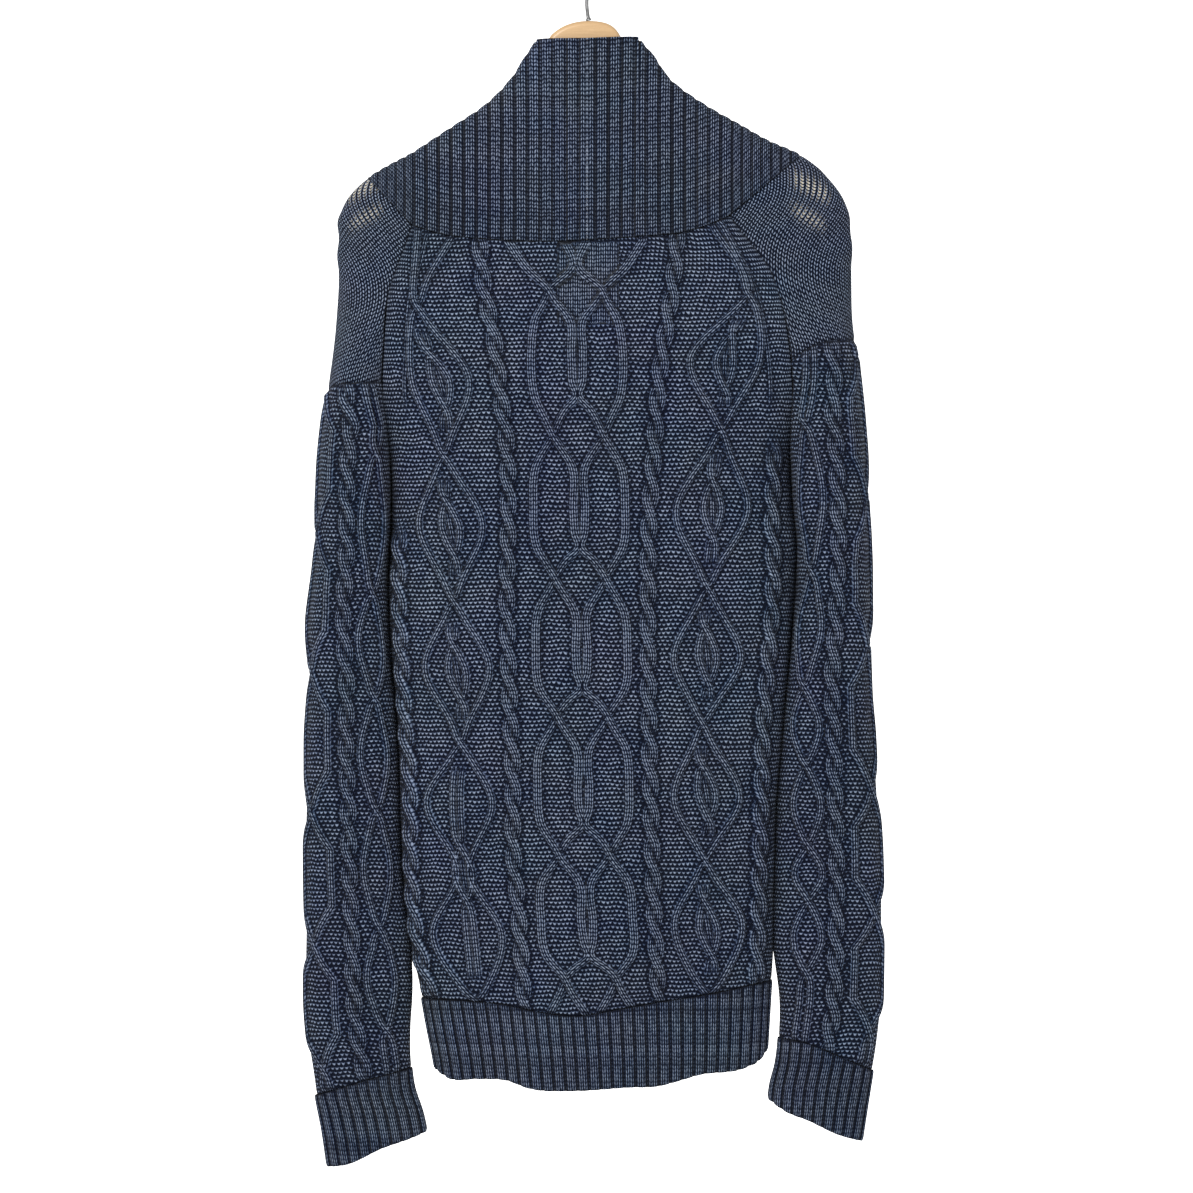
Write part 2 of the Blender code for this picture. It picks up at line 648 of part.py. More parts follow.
def make_hems():
    hem_piece("hem_back", BACK, (body_edge_low, body_edge_high), BACK_INSIDE)
    for side in (LEFT, RIGHT):
        hem_piece("hem_front_" + side_name(side), FRONT, front_edges(side), FRONT_INSIDE)


def band_grid(side, columns):
    edges = (-BAND_WIDTH, -SEAM_GAP / 2) if side == LEFT else (SEAM_GAP / 2, BAND_WIDTH)
    x = np.linspace(*edges, columns)[:, None] + np.zeros(BAND_ROWS)
    drop = np.linspace(BAND_TOP_DROP, BAND_BOTTOM_DROP, BAND_ROWS) + np.zeros((columns, 1))
    return on_body(x, drop, FRONT)


def make_band(side):
    """A straight ribbed band that carries the collar on down one front."""
    name = "front_band_" + side_name(side)
    return cloth_wall(name, band_grid(side, BAND_COLUMNS), rib_heights(BAND_COLUMNS, BAND_ROWS),
                      band_grid(side, BAND_INSIDE), RIB)


# ---------------------------------------------------------------- collar

def ridge_drop(side, x):
    """The drop at which the outline passes x, on the slope over the hanger."""
    drops = np.linspace(OUTLINE_TOP, YOKE_TOP, 400)
    reach = side * outer_x(side, drops)
    return float(np.interp(side * x, reach, drops))


def rib_path(side, rib, steps=90):
    """A rib's way over the form: up the back, over the ridge and on to the free edge."""
    t = np.linspace(0, 1, steps)
    xs, drops, faces = [], [], []
    start_x, start_drop = rib.foot_x, rib.foot_drop
    outside_free = side * rib.foot_x > abs(rib.free_x) - 0.01
    crosses = rib.foot_side == BACK and outside_free and rib.free_drop > OUTLINE_TOP + 1
    if rib.foot_side == BACK:
        top = ridge_drop(side, rib.foot_x) if crosses else rib.free_drop
        end_x = rib.foot_x if crosses else rib.free_x
        back = 1 - (1 - t) ** 2 if crosses else t
        xs.append(start_x + (end_x - start_x) * back)
        drops.append(start_drop + (top - start_drop) * back)
        faces.append(np.full(steps, BACK))
        start_x, start_drop = end_x, top
    ridge_at = 1.0
    if crosses or rib.foot_side == FRONT:
        over = t[1:] ** 2 if crosses else t
        xs.append(start_x + (rib.free_x - start_x) * over)
        drops.append(start_drop + (rib.free_drop - start_drop) * over)
        faces.append(np.full(len(over), FRONT))
        ridge_at = 0.0
    x, drop, face = np.concatenate(xs), np.concatenate(drops), np.concatenate(faces)
    y = face * np.maximum(collar_power(x, drop), 0) ** (1 / ROUNDNESS)
    length = run_length(np.stack([x, y, drop], -1))
    if crosses:
        ridge_at = length[steps - 1] / length[-1]
    return x, drop, face, length, ridge_at


def collar_table(side):
    """The ribs' feet and ends against the length walked along the seam."""
    ribs = COLLAR_RIBS[side]
    return ribs, run_length(np.array([[rib.foot_x, rib.foot_drop] for rib in ribs], float))


def collar_rib(side, ribs, seam_length, at):
    """A rib between two rows of the table; the seam turns to the front at the ridge row."""
    k = int(np.clip(np.searchsorted(seam_length, at, side="right") - 1, 0, len(ribs) - 2))
    t = (at - seam_length[k]) / (seam_length[k + 1] - seam_length[k])
    a, b = ribs[k], ribs[k + 1]
    mix = [p + (q - p) * t for p, q in ((a.foot_x, b.foot_x), (a.foot_drop, b.foot_drop),
                                        (a.free_x, b.free_x), (a.free_drop, b.free_drop))]
    foot_x = mix[0] - (side * FRONT_SEAM_CLEAR if k > FRONT_ROW else 0.0)
    on_neck = a.foot_side == BACK and NECK_SEAM[0].x <= b.foot_x <= NECK_SEAM[-1].x
    foot_drop = float(across(NECK_SEAM, foot_x)) if on_neck else mix[1]
    return Rib(foot_x, foot_drop - CURVED_GAP / 2, a.foot_side, mix[2], mix[3])


def collar_grid(side, stations):
    """The collar's points at ribs that start at the given places along its seam."""
    ribs, seam_length = collar_table(side)
    columns = []
    for at in stations:
        x, drop, face, length, ridge_at = rib_path(side, collar_rib(side, ribs, seam_length, at))
        shares = np.linspace(0, 1, 400)
        density = 1 + 3.2 * np.exp(-((shares - ridge_at) * length[-1] / 11.0) ** 2)
        spread = np.concatenate([[0], np.cumsum((density[1:] + density[:-1]) / 2)])
        picks = np.interp(np.linspace(0, spread[-1], COLLAR_ROWS), spread, shares) * length[-1]
        columns.append([np.interp(picks, length, line) for line in (x, drop, face)])
    x, drop, face = np.moveaxis(np.array(columns), 1, 0)
    x[0] = side * SEAM_GAP / 2
    limit = np.where(drop < YOKE_TOP, outer_x(side, drop) * side, np.inf)
    x = side * np.minimum(side * x, limit)
    return surface(collar_power, x, drop, np.where(face < 0, BACK, FRONT))


def collar_stations(side, back_pitch, front_pitch):
    """Even places along the seam, with one at each corner of it."""
    _, seam_length = collar_table(side)
    stations = [np.zeros(1)]
    for k in range(len(seam_length) - 1):
        span = seam_length[k + 1] - seam_length[k]
        pitch = back_pitch if k < FRONT_ROW else front_pitch
        pieces = max(1, round(span / pitch / 2)) * 2 if pitch < 12 else max(1, round(span / pitch))
        stations.append(np.linspace(seam_length[k], seam_length[k + 1], pieces + 1)[1:])
    return np.concatenate(stations)


def make_collar(side):
    """Half the shawl collar, from the centre back seam round to the end of the front."""
    stations = collar_stations(side, COLLAR_RIB_PITCH / 2, COLLAR_FRONT_PITCH / 2)
    plain = collar_stations(side, *COLLAR_INSIDE_PITCHES)
    name = "collar_" + side_name(side)
    return cloth_wall(name, collar_grid(side, stations), rib_heights(len(stations), COLLAR_ROWS),
                      collar_grid(side, plain), RIB)


# ---------------------------------------------------------------- sleeves

def sleeve_power_of(side):
    return left_sleeve_power if side == LEFT else right_sleeve_power


def cap_inner_x(side, drop):
    """The yoke's inner edge: the collar's seam while it is above the raglan's top."""
    top, end = COLLAR_RIBS[side][FRONT_ROW:FRONT_ROW + 2]
    t = np.clip((end.foot_drop - drop) / (end.foot_drop - top.foot_drop), 0, 1)
    seam = end.foot_x + (top.foot_x - end.foot_x) * t
    return np.where(drop < end.foot_drop, seam, edge_x(side, np.maximum(drop, end.foot_drop)))


def half_section(side, drop, inner, steps=120):
    """The sleeve's section at one drop, from its outer edge in to its inner one."""
    outer = float(outer_x(side, drop))
    x = outer + (inner - outer) * ((1 - np.cos(math.pi * np.linspace(0, 1, steps))) / 2) ** 1.3
    y = np.maximum(sleeve_power(side, x, drop), 0) ** (1 / ROUNDNESS)
    return x, run_length(np.stack([x, y], -1))


def sleeve_grid(side, arcs_at, nominal, drop_of, inner_at):
    """Points round the sleeve: places along each section, then moved to slanted rows."""
    share = []
    face = []
    for height in nominal:
        inner = float(inner_at(np.array(height)))
        line, length = half_section(side, height, inner)
        arcs = arcs_at(height, length[-1])
        picked = np.interp(np.abs(arcs), length, line)
        share.append((picked - inner) / (line[0] - inner))
        face.append(np.where(arcs < 0, BACK, FRONT))
    share = np.array(share).T
    face = np.array(face).T
    drop = np.tile(nominal, (len(share), 1))
    for _ in range(SETTLING_TURNS):
        inner = inner_at(drop)
        x = inner + (outer_x(side, drop) - inner) * share
        drop = drop_of(x)
    points, normals = surface(sleeve_power_of(side), x, drop, face)
    clear = np.where(share > 0.999, 0, SEAM_GAP / 2)
    points[..., 1] = face * np.maximum(face * points[..., 1], clear)
    return points, normals


def cap_level(side):
    return float(across(CAP_SEAM[side], side * 200.0))


def make_yoke(side):
    """The plain stockinette sleeve cap between raglans, collar and cable section."""
    tip = COLLAR_RIBS[side][FRONT_ROW].foot_drop + 3.0
    raglan_top = COLLAR_RIBS[side][FRONT_ROW + 1].foot_drop
    level = cap_level(side)
    upper_rows, lower_rows = YOKE_ROWS
    nominal = np.concatenate([np.linspace(tip, raglan_top, upper_rows),
                              np.linspace(raglan_top, level, lower_rows)[1:]])
    slant = ease(raglan_top, level, nominal)

    def drop_of(x):
        drop = nominal + slant * (across(CAP_SEAM[side], x) - level)
        drop[:, -1] -= CURVED_GAP / 2
        return drop

    def inner_at(drop):
        on_collar = ease(raglan_top + 60, raglan_top + 20, drop)
        return cap_inner_x(side, drop) + side * (SEAM_GAP + 0.35 * on_collar)

    outside = sleeve_grid(side, even_arcs(YOKE_COLUMNS), nominal, drop_of, inner_at)
    inside = sleeve_grid(side, even_arcs(YOKE_INSIDE), nominal, drop_of, inner_at)
    plain = np.zeros(outside[0].shape[:2])
    return cloth_wall("sleeve_yoke_" + side_name(side), outside, plain, inside, KNIT)


def crossing_share(crossings, drop):
    """0 at a crossing of two strands and 1 midway to the next."""
    places = np.array(crossings, float)
    low = np.clip(np.searchsorted(places, drop, side="right") - 1, 0, len(places) - 2)
    t = (drop - places[low]) / (places[low + 1] - places[low])
    return 0.5 - 0.5 * np.cos(2 * math.pi * np.clip(t, 0, 1))


def sleeve_tops(side, drop):
    """Arc places of the sleeve's strands, from the middle line outwards."""
    wide = crossing_share(SLEEVE_CROSSINGS[side], drop)
    lattice_outer = 25 + (SLEEVE_LATTICE_HALF - 25) * np.minimum(1, 1.6 * wide)
    lattice_inner = 18 - 13 * np.minimum(1, 1.9 * wide)
    spread = 4.5 + (SLEEVE_DIAMOND_HALF - 4.5) * crossing_share(DIAMOND_CROSSINGS[side], drop)
    return [lattice_inner, lattice_outer, SLEEVE_ROPE_ARC + 0 * drop,
            SLEEVE_DIAMOND_ARC - spread, SLEEVE_DIAMOND_ARC + spread]


def sleeve_inner_at(side):
    """The sleeve's edge beside the body, a fold's gap clear of it."""
    def inner_at(drop):
        gap = SEAM_GAP + (FOLD_GAP / 2 - SEAM_GAP) * ease(CAP_DROP, SLIT_OPEN_DROP, drop)
        return sleeve_edge_x(side, drop) + side * gap
    return inner_at


def even_arcs(count):
    return lambda height, half: np.linspace(-1, 1, count) * half


def make_sleeve(side):
    """The cabled sleeve, closed by its underarm seam and open above it to the body."""
    level_bottom = float(across(CUFF_TOP[side], side * 200.0))

    def strands(nominal, half):
        tops = sleeve_tops(side, nominal)
        scale = np.minimum(1.0, (half - 8.0) / (SLEEVE_DIAMOND_ARC + SLEEVE_DIAMOND_HALF))
        both = [line * scale for line in [-line for line in tops[::-1]] + tops]
        arcs, heights = strand_columns(both, -half, half)
        return squeeze(arcs, -half, half), heights

    def grid(arcs_at, rows):
        steps = np.linspace(0, 1, rows)
        nominal = cap_level(side) + (level_bottom - cap_level(side)) * steps

        def drop_of(x):
            top = across(CAP_SEAM[side], x[:, :1]) + CURVED_GAP / 2
            bottom = across(CUFF_TOP[side], x[:, -1:]) - SEAM_GAP / 2
            return top + (bottom - top) * steps

        return nominal, sleeve_grid(side, arcs_at, nominal, drop_of, sleeve_inner_at(side))

    def strand_arcs(height, half):
        return strands(np.array([height]), np.array([half]))[0][:, 0]

    nominal, outside = grid(strand_arcs, SLEEVE_ROWS)
    heights = strands(nominal, np.full(SLEEVE_ROWS, SLEEVE_HALF_GIRTH))[1]
    for rope in ROPE_COLUMNS["sleeve"]:
        heights[rope] = heights[rope] * rope_height(nominal)
    _, inside = grid(even_arcs(SLEEVE_INSIDE), SLEEVE_INSIDE_ROWS)
    return cloth_wall("sleeve_" + side_name(side), outside, fade(heights) * CABLE_HEIGHT, inside, KNIT)


def make_cuff(side):
    """The ribbed cuff, a short tube closed by the same underarm seam."""
    level = float(across(CUFF_TOP[side], side * 200.0))
    inner_at = sleeve_inner_at(side)
    _, length = half_section(side, level, float(inner_at(np.array(level))))
    ribs = 2 * round(length[-1] / CUFF_RIB_PITCH)
    steps = np.linspace(0, 1, HEM_ROWS)
    nominal = level + (float(across(CUFF_BOTTOM[side], side * 190.0)) - level) * steps

    def drop_of(x):
        top = across(CUFF_TOP[side], x[:, :1]) + SEAM_GAP / 2
        bottom = across(CUFF_BOTTOM[side], x[:, -1:])
        return top + (bottom - top) * steps

    outside = sleeve_grid(side, even_arcs(2 * ribs + 1), nominal, drop_of, inner_at)
    inside = sleeve_grid(side, even_arcs(SLEEVE_INSIDE), nominal, drop_of, inner_at)
    return cloth_wall("cuff_" + side_name(side), outside, rib_heights(2 * ribs + 1, HEM_ROWS), inside, RIB)


# ---------------------------------------------------------------- hanger

def inset_outline(side, inset):
    """The hanger's upper edge: the outline over it, moved in by the cloth's wall."""
    drops = np.array([122, 133, 145, 157, 171, 185, 200, 212, 222, 231], float)
    step = 0.5
    x = outer_x(side, drops)
    run_x = outer_x(side, drops + step) - outer_x(side, drops - step)
    length = np.hypot(run_x, 2 * step)
    inward_x = -side * 2 * step / length
    inward_drop = np.abs(run_x) / length
    return list(zip(x + inward_x * inset, drops + inward_drop * inset))


def hanger_outline():
    """The wooden hanger seen from the front: its hump, two arms and their lower edges."""
    hump = [(-34, 98), (-29, 91.5), (-20, 85.5), (-9, 82), (2, 81), (13, 82), (21, 85), (27, 91),
            (31, 99), (39, 112)]
    left = inset_outline(LEFT, HANGER_INSET)
    right = inset_outline(RIGHT, HANGER_INSET)
    under_left = [(x + 12, drop + HANGER_ARM_DEPTH) for x, drop in left[2:-1]]
    under_right = [(x - 12, drop + HANGER_ARM_DEPTH) for x, drop in right[2:-1]]
    return hump + right + under_right[::-1] + under_left + left[::-1]


def make_hanger():
    """A flat shaped board with rounded edges."""
    curve = bpy.data.curves.new("hanger_outline", "CURVE")
    curve.dimensions = "2D"
    curve.fill_mode = "BOTH"
    curve.extrude = (HANGER_THICKNESS / 2 - HANGER_ROUNDING) * MM
    curve.bevel_depth = HANGER_ROUNDING * MM
    curve.offset = -HANGER_ROUNDING * MM
    curve.bevel_resolution = 1
    outline = hanger_outline()
    spline = curve.splines.new("POLY")
    spline.points.add(len(outline) - 1)
    for point, (x, drop) in zip(spline.points, outline):
        point.co = (x * MM, -drop * MM, 0, 1)
    spline.use_cyclic_u = True
    return solid_from_curve("hanger_wood", curve, WOOD, math.radians(90))


def solid_from_curve(name, curve, material, turn=0.0):
    """Turns a curve with filled caps into one closed mesh."""
    guide = bpy.data.objects.new(name + "_curve", curve)
    PARTS.objects.link(guide)
    guide.rotation_euler = (turn, 0, 0)
    bpy.context.view_layer.update()
    evaluated = guide.evaluated_get(bpy.context.evaluated_depsgraph_get())
    mesh = bpy.data.meshes.new_from_object(evaluated)
    bm = bmesh.new()
    bm.from_mesh(mesh)
    bmesh.ops.remove_doubles(bm, verts=bm.verts, dist=0.00002)
    bmesh.ops.recalc_face_normals(bm, faces=bm.faces)
    bm.transform(guide.matrix_world)
    bpy.data.objects.remove(guide)
    return finish_piece(name, bm, material)


def make_hook():
    """The steel hook: up out of the hump, round to one side and over to its tip."""
    centre_drop = HOOK_RADIUS - HOOK_WIRE / 2
    points = [SHANK_FOOT, (-0.5, 68), (0.5, 57)]
    for step in range(15):
        angle = math.radians(-62 + step * 272 / 14)
        points.append((HOOK_RADIUS * math.cos(angle), centre_drop - HOOK_RADIUS * math.sin(angle)))
    curve = bpy.data.curves.new("hook_line", "CURVE")
    curve.dimensions = "3D"
    curve.bevel_depth = HOOK_WIRE / 2 * MM
    curve.bevel_resolution = 2
    curve.use_fill_caps = True
    spline = curve.splines.new("POLY")
    spline.points.add(len(points) - 1)
    for point, (x, drop) in zip(spline.points, points):
        point.co = (x * MM, 0, -drop * MM, 1)
    return solid_from_curve("hanger_hook", curve, STEEL)


# ---------------------------------------------------------------- materials and the whole

def make_material(name, colour, roughness, metallic=0.0):
    material = bpy.data.materials.new(name)
    material.use_nodes = True
    shader = material.node_tree.nodes["Principled BSDF"]
    shader.inputs["Base Color"].default_value = (*colour, 1)
    shader.inputs["Roughness"].default_value = roughness
    shader.inputs["Metallic"].default_value = metallic
    return material


for old in list(bpy.data.objects):
    bpy.data.objects.remove(old)
PARTS = bpy.data.collections.new("cable_knit_cardigan")
bpy.context.scene.collection.children.link(PARTS)
KNIT = make_material("cable_knit", (0.052, 0.066, 0.104), 0.92)
RIB = make_material("rib_knit", (0.042, 0.053, 0.086), 0.92)
WOOD = make_material("hanger_wood", (0.72, 0.50, 0.28), 0.45)
STEEL = make_material("hook_steel", (0.75, 0.75, 0.76), 0.25, 1.0)

make_back()
make_hems()
make_hanger()
make_hook()
for picture_side in (LEFT, RIGHT):
    make_front(picture_side)
    make_band(picture_side)
    make_collar(picture_side)
    make_yoke(picture_side)
    make_sleeve(picture_side)
    make_cuff(picture_side)
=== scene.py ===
"""Cable knit cardigan on a wooden hanger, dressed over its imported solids.

Sizes in the tables are millimetres; heights are a drop below the inside top of the
hanger's hook, which is the origin, and +X is to the right when the back is looked at.
Every knitted piece is a thin shell on its solid's form, with its cables or ribs raised.
"""
import math
from collections import namedtuple

import bmesh
import bpy
import numpy as np
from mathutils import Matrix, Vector


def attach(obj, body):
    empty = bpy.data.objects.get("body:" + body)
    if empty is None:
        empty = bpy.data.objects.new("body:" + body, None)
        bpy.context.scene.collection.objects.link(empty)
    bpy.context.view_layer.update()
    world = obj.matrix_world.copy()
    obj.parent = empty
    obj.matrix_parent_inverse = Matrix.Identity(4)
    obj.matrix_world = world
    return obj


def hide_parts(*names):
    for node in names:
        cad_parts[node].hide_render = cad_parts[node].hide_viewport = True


bl_info = {
    "name": "Cable Knit Cardigan",
    "version": (1, 0, 0),
    "blender": (4, 5, 0),
    "location": "View3D > Sidebar > Cardigan",
    "description": "Knits a cabled cardigan over its solids and hangs it on a wooden hanger",
    "category": "Add Mesh",
}

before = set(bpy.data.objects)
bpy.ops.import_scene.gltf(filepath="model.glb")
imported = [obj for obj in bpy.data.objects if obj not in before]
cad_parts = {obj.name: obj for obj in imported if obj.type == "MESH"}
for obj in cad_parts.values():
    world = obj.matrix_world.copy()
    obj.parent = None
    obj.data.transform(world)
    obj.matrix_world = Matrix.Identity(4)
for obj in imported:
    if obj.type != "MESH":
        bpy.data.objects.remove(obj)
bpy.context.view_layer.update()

MM = 0.001
# Gaps between neighbouring pieces, and how square the rounded sections are.
SEAM_GAP = 0.04
CURVED_GAP = 0.08
FOLD_GAP = 0.10
ROUNDNESS = 2.5
LEFT, RIGHT = -1, 1
SIDES = (LEFT, RIGHT)
BACK, FRONT = -1, 1

# Drops and widths that several pieces share.
NECK_DROP = 271.0
CAP_DROP = 394.0
BAND_TOP_DROP = 440.0
BAND_WIDTH = 25.0
BAND_BOTTOM_DROP = 999.0
COLLAR_RIB_PITCH = 11.0
HEM_RIB_PITCH = 10.2
CUFF_RIB_PITCH = 9.4
HOOK_WIRE = 3.2
HOOK_RADIUS = 21.6
SHANK_FOOT = (1.5, 80.7)
COLLAR_BLEND = (255.0, 285.0)
OUTLINE_TOP = 97.0
YOKE_TOP = 249.0
LOOSE_SLEEVE_DROP = 882.0
HEM_MIDDLE = 950.0
PANEL_TOP, PANEL_BOTTOM = 260.0, 925.0
SLIT_OPEN_DROP = 560.0
FRONT_SEAM_CLEAR = 0.03
PANEL_LENGTH, PANEL_GIRTH = 660.0, 400.0
SLEEVE_LENGTH = 600.0
TRIM_LENGTH = 65.0
SLEEVE_MIDDLE = 200.0
CAP_END = (200, 262)
SETTLING_TURNS = 5


def table(kind, *rows):
    return [kind(*row) for row in rows]


# The outline seen from the front or back: the two outer edges at each drop.
Outline = namedtuple("Outline", "drop left right")
OUTLINE = table(Outline, (97, -43, 45), (111, -52.5, 57), (133, -67, 73), (157, -92, 107),
    (171, -113.5, 132), (185, -135, 157), (196, -152, 182), (206, -171, 197), (217, -189, 208),
    (231, -204, 219), (249, -213, 226), (268, -215, 228), (297, -214, 228), (340, -216, 229),
    (366, -218.5, 232), (391, -222, 234.5), (443, -229, 239), (495, -232, 241), (546, -234, 243.5),
    (598, -240, 244), (649, -239, 243), (701, -242, 247), (752, -242, 250), (804, -242.5, 253),
    (856, -242, 254), (907, -242.5, 254), (933, -242, 253), (959, -240, 250), (985, -236.5, 246),
    (1010, -233, 242), (1036, -228, 238), (1070, -223, 233))

# Raglan seams, then the fold where a sleeve hangs against the body, then the body's edge.
Edge = namedtuple("Edge", "drop left right")
BODY_EDGE = table(Edge, (250, -147, 122), (257, -149.6, 127), (277, -156.5, 143), (297, -164, 157),
    (316, -170, 164), (338, -172.5, 169.5), (364, -174, 173.5), (394, -175.5, 176),
    (458, -169.5, 175), (496, -168.5, 177), (533, -169.5, 180.5), (558, -171, 180),
    (602, -170, 177), (637, -168, 174), (666, -165, 171), (702, -162.5, 168), (754, -161, 163.5),
    (808, -159, 161.5), (843, -156, 160.5), (882, -150.5, 160), (907, -145, 158.5),
    (923, -142, 157.5), (948, -137.5, 156), (973, -132.5, 154.5), (1000, -128, 152.5))
SLEEVE_EDGE = table(Edge, (882, -151.5, 161), (925, -151, 166), (949, -152.5, 166),
    (980, -152, 163), (1000, -149.5, 158), (1023, -142, 156), (1070, -134, 153))

# Half depths front to back, how wide the rounded ends are and how deep the sleeve's fold is.
Section = namedtuple("Section", "drop sleeve body end groove")
SECTION = table(Section, (97, 14.5, 14.5, 48, 1), (133, 14.5, 14.5, 48, 1), (157, 15, 15, 50, 1),
    (196, 17, 17, 52, 1), (230, 19, 19, 56, 1), (271, 22, 22, 60, 1), (323, 29, 31, 60, 0.97),
    (364, 36, 40, 60, 0.84), (394, 40, 45, 60, 0.66), (430, 42, 49, 60, 0.40),
    (458, 43, 52, 60, 0.18), (480, 43, 54, 60, 0), (540, 41, 57, 60, 0), (600, 38, 58, 60, 0),
    (750, 32, 58, 60, 0), (900, 27, 53, 60, 0), (960, 24, 49, 60, 0), (1000, 21, 45, 60, 0),
    (1070, 17, 42, 60, 0))

# Seams that run across: x, then the drop of the seam there.
Line = namedtuple("Line", "x drop")
NECK_SEAM = table(Line, (-150, 258.5), (-125, 266), (-89, 270), (-43, 272), (0, 271), (43, 268),
    (83, 264), (105, 257.5), (122, 250))
HEM_TOP = table(Line, (-145, 923), (-105, 924), (-72, 927), (-40, 932.5), (-6, 935.5), (26, 930.5),
    (60, 925), (97, 919.5), (138, 911.5), (160, 907.5))
HEM_BOTTOM = table(Line, (-130, 984), (-120, 990.5), (-93, 991), (-69, 992), (-51, 998),
    (-8, 1000), (36, 997.5), (62, 996.5), (78, 992.5), (95, 987.5), (138, 981), (148, 976),
    (156, 966))
CAP_SEAM = {
    LEFT: table(Line, (-226, 402), (-220, 398), (-198, 394.5), (-170, 394)),
    RIGHT: table(Line, (172, 378), (189, 365), (208, 358), (236, 357)),
}
CUFF_TOP = {
    LEFT: table(Line, (-236, 1008), (-195, 995), (-150, 983)),
    RIGHT: table(Line, (156, 956), (190, 962), (215, 972), (246, 986)),
}
CUFF_BOTTOM = {
    LEFT: table(Line, (-226, 1069), (-206, 1066), (-176, 1052), (-150, 1043), (-138, 1038)),
    RIGHT: table(Line, (156, 1010), (170, 1020), (190, 1028), (215, 1040), (238, 1047)),
}

# The collar's ribs: where a rib starts on the seam and where it ends at the free edge.
# The seam goes over the shoulder at FRONT_ROW, and meets the front's raglan in the next row.
FRONT_ROW = 5
Rib = namedtuple("Rib", "foot_x foot_drop foot_side free_x free_drop")
COLLAR_RIBS = {
    LEFT: table(Rib, (0, 271, BACK, 0, 97), (-43, 272, BACK, -43, 97), (-89, 270, BACK, -41, 157),
        (-125, 266, BACK, -34, 219), (-150, 258.5, BACK, -27, 260), (-189, 217, FRONT, -20, 300),
        (-150, 258.5, FRONT, -16, 340), (-88, 348.5, FRONT, -8, 388), (-26, 439, FRONT, -2, 439)),
    RIGHT: table(Rib, (0, 271, BACK, 0, 97), (43, 268, BACK, 44, 95), (83, 264, BACK, 40, 150),
        (122, 250, BACK, 33, 210), (150, 226.5, BACK, 27, 255), (184, 197.5, FRONT, 20, 296),
        (122, 250, FRONT, 16, 336), (74, 344.5, FRONT, 8, 386), (26, 438.5, FRONT, 2, 438.5)),
}

# Cables: the middle line of each raised strand. A pair that comes close is a crossing.
Strand = namedtuple("Strand", "drop x")
SIDE_ROPE = {
    LEFT: table(Strand, (300, -160), (394, -163), (460, -158), (543, -161), (610, -160),
        (675, -156), (740, -151), (820, -150), (871, -145), (930, -131)),
    RIGHT: table(Strand, (300, 150), (394, 164), (460, 160), (510, 158), (560, 159), (642, 154),
        (692, 150), (741, 149), (820, 147), (930, 144)),
}
INNER_ROPE = {
    LEFT: table(Strand, (262, -93), (315, -88), (361, -79), (397, -75), (453, -68), (500, -67),
        (593, -68), (659, -66), (741, -63), (786, -63), (854, -58), (935, -53)),
    RIGHT: table(Strand, (262, 78), (297, 75), (335, 70), (371, 64), (409, 60), (443, 58),
        (511, 53), (593, 52), (741, 54), (838, 57), (935, 62)),
}
SIDE_ROPE_START = {LEFT: (505, 540), RIGHT: (430, 470)}
Diamond = namedtuple("Diamond", "drop left right")
DIAMOND = {
    LEFT: table(Diamond, (262, -145, -113), (329, -150, -141), (391, -150, -101),
        (457, -126, -117), (516, -143, -89), (581, -118, -109), (637, -138, -83),
        (703, -112, -103), (751, -136, -81), (815, -110, -100), (866, -131, -73), (925, -99, -90)),
    RIGHT: table(Diamond, (250, 103, 112), (319, 134, 143), (373, 89, 148), (435, 110, 119),
        (504, 76, 137), (570, 98, 107), (630, 74, 131), (686, 94, 103), (751, 74, 130),
        (803, 96, 105), (857, 75, 132), (920, 100, 109)),
}
Lattice = namedtuple("Lattice", "drop axis outer inner")
LATTICE = table(Lattice, (272, -10, 58, 9), (294, -9.7, 44, 2), (316, -9.5, 27, 19),
    (343, -9, 36, 5), (366, -8.5, 39, 5), (405, -8, 37, 6), (440, -7.5, 25, 18), (469, -7, 37, 5),
    (500, -6.5, 39, 5), (534, -6, 37, 6), (562, -5.5, 25, 18), (592, -5, 37, 5),
    (622, -4.5, 39, 5), (654, -4, 37, 6), (680, -3.5, 25, 18), (709, -3.4, 37, 5),
    (740, -3, 39, 5), (770, -2.5, 37, 6), (798, -2, 25, 18), (822, -1.5, 37, 5), (852, 0, 39, 5),
    (882, 2, 37, 6), (904, 3.5, 25, 18), (935, 5, 37, 5))

# The sleeve's cables lie either side of its middle, which is its outer edge as it hangs.
SLEEVE_CROSSINGS = {LEFT: (402, 521, 641, 762, 876, 984), RIGHT: (372, 493, 619, 744, 850, 952)}
DIAMOND_CROSSINGS = {LEFT: (455, 575, 665, 762, 862, 950),
                     RIGHT: (430, 555, 655, 722, 791, 839, 900)}
SLEEVE_LATTICE_HALF = 40.0
SLEEVE_ROPE_ARC = 56.0
SLEEVE_DIAMOND_ARC = 80.0
SLEEVE_DIAMOND_HALF = 12.0

# Soft folds that the cloth hangs in: a centre, a reach along and across, and a depth.
Fold = namedtuple("Fold", "side x drop lean half_length half_width depth")
FOLDS = table(Fold, (BACK, -75, 900, 0.06, 90, 26, -4), (BACK, -20, 930, 0.0, 90, 34, 5),
    (BACK, 78, 900, -0.05, 95, 28, -4), (FRONT, -92, 860, 0.05, 130, 30, -5),
    (FRONT, 96, 850, -0.05, 130, 30, -5), (BACK, -205, 600, 2.0, 14, 34, -3),
    (BACK, 212, 560, -2.2, 14, 34, -3), (BACK, -200, 950, 2.4, 12, 32, 3),
    (BACK, 212, 930, -2.4, 12, 32, 3))


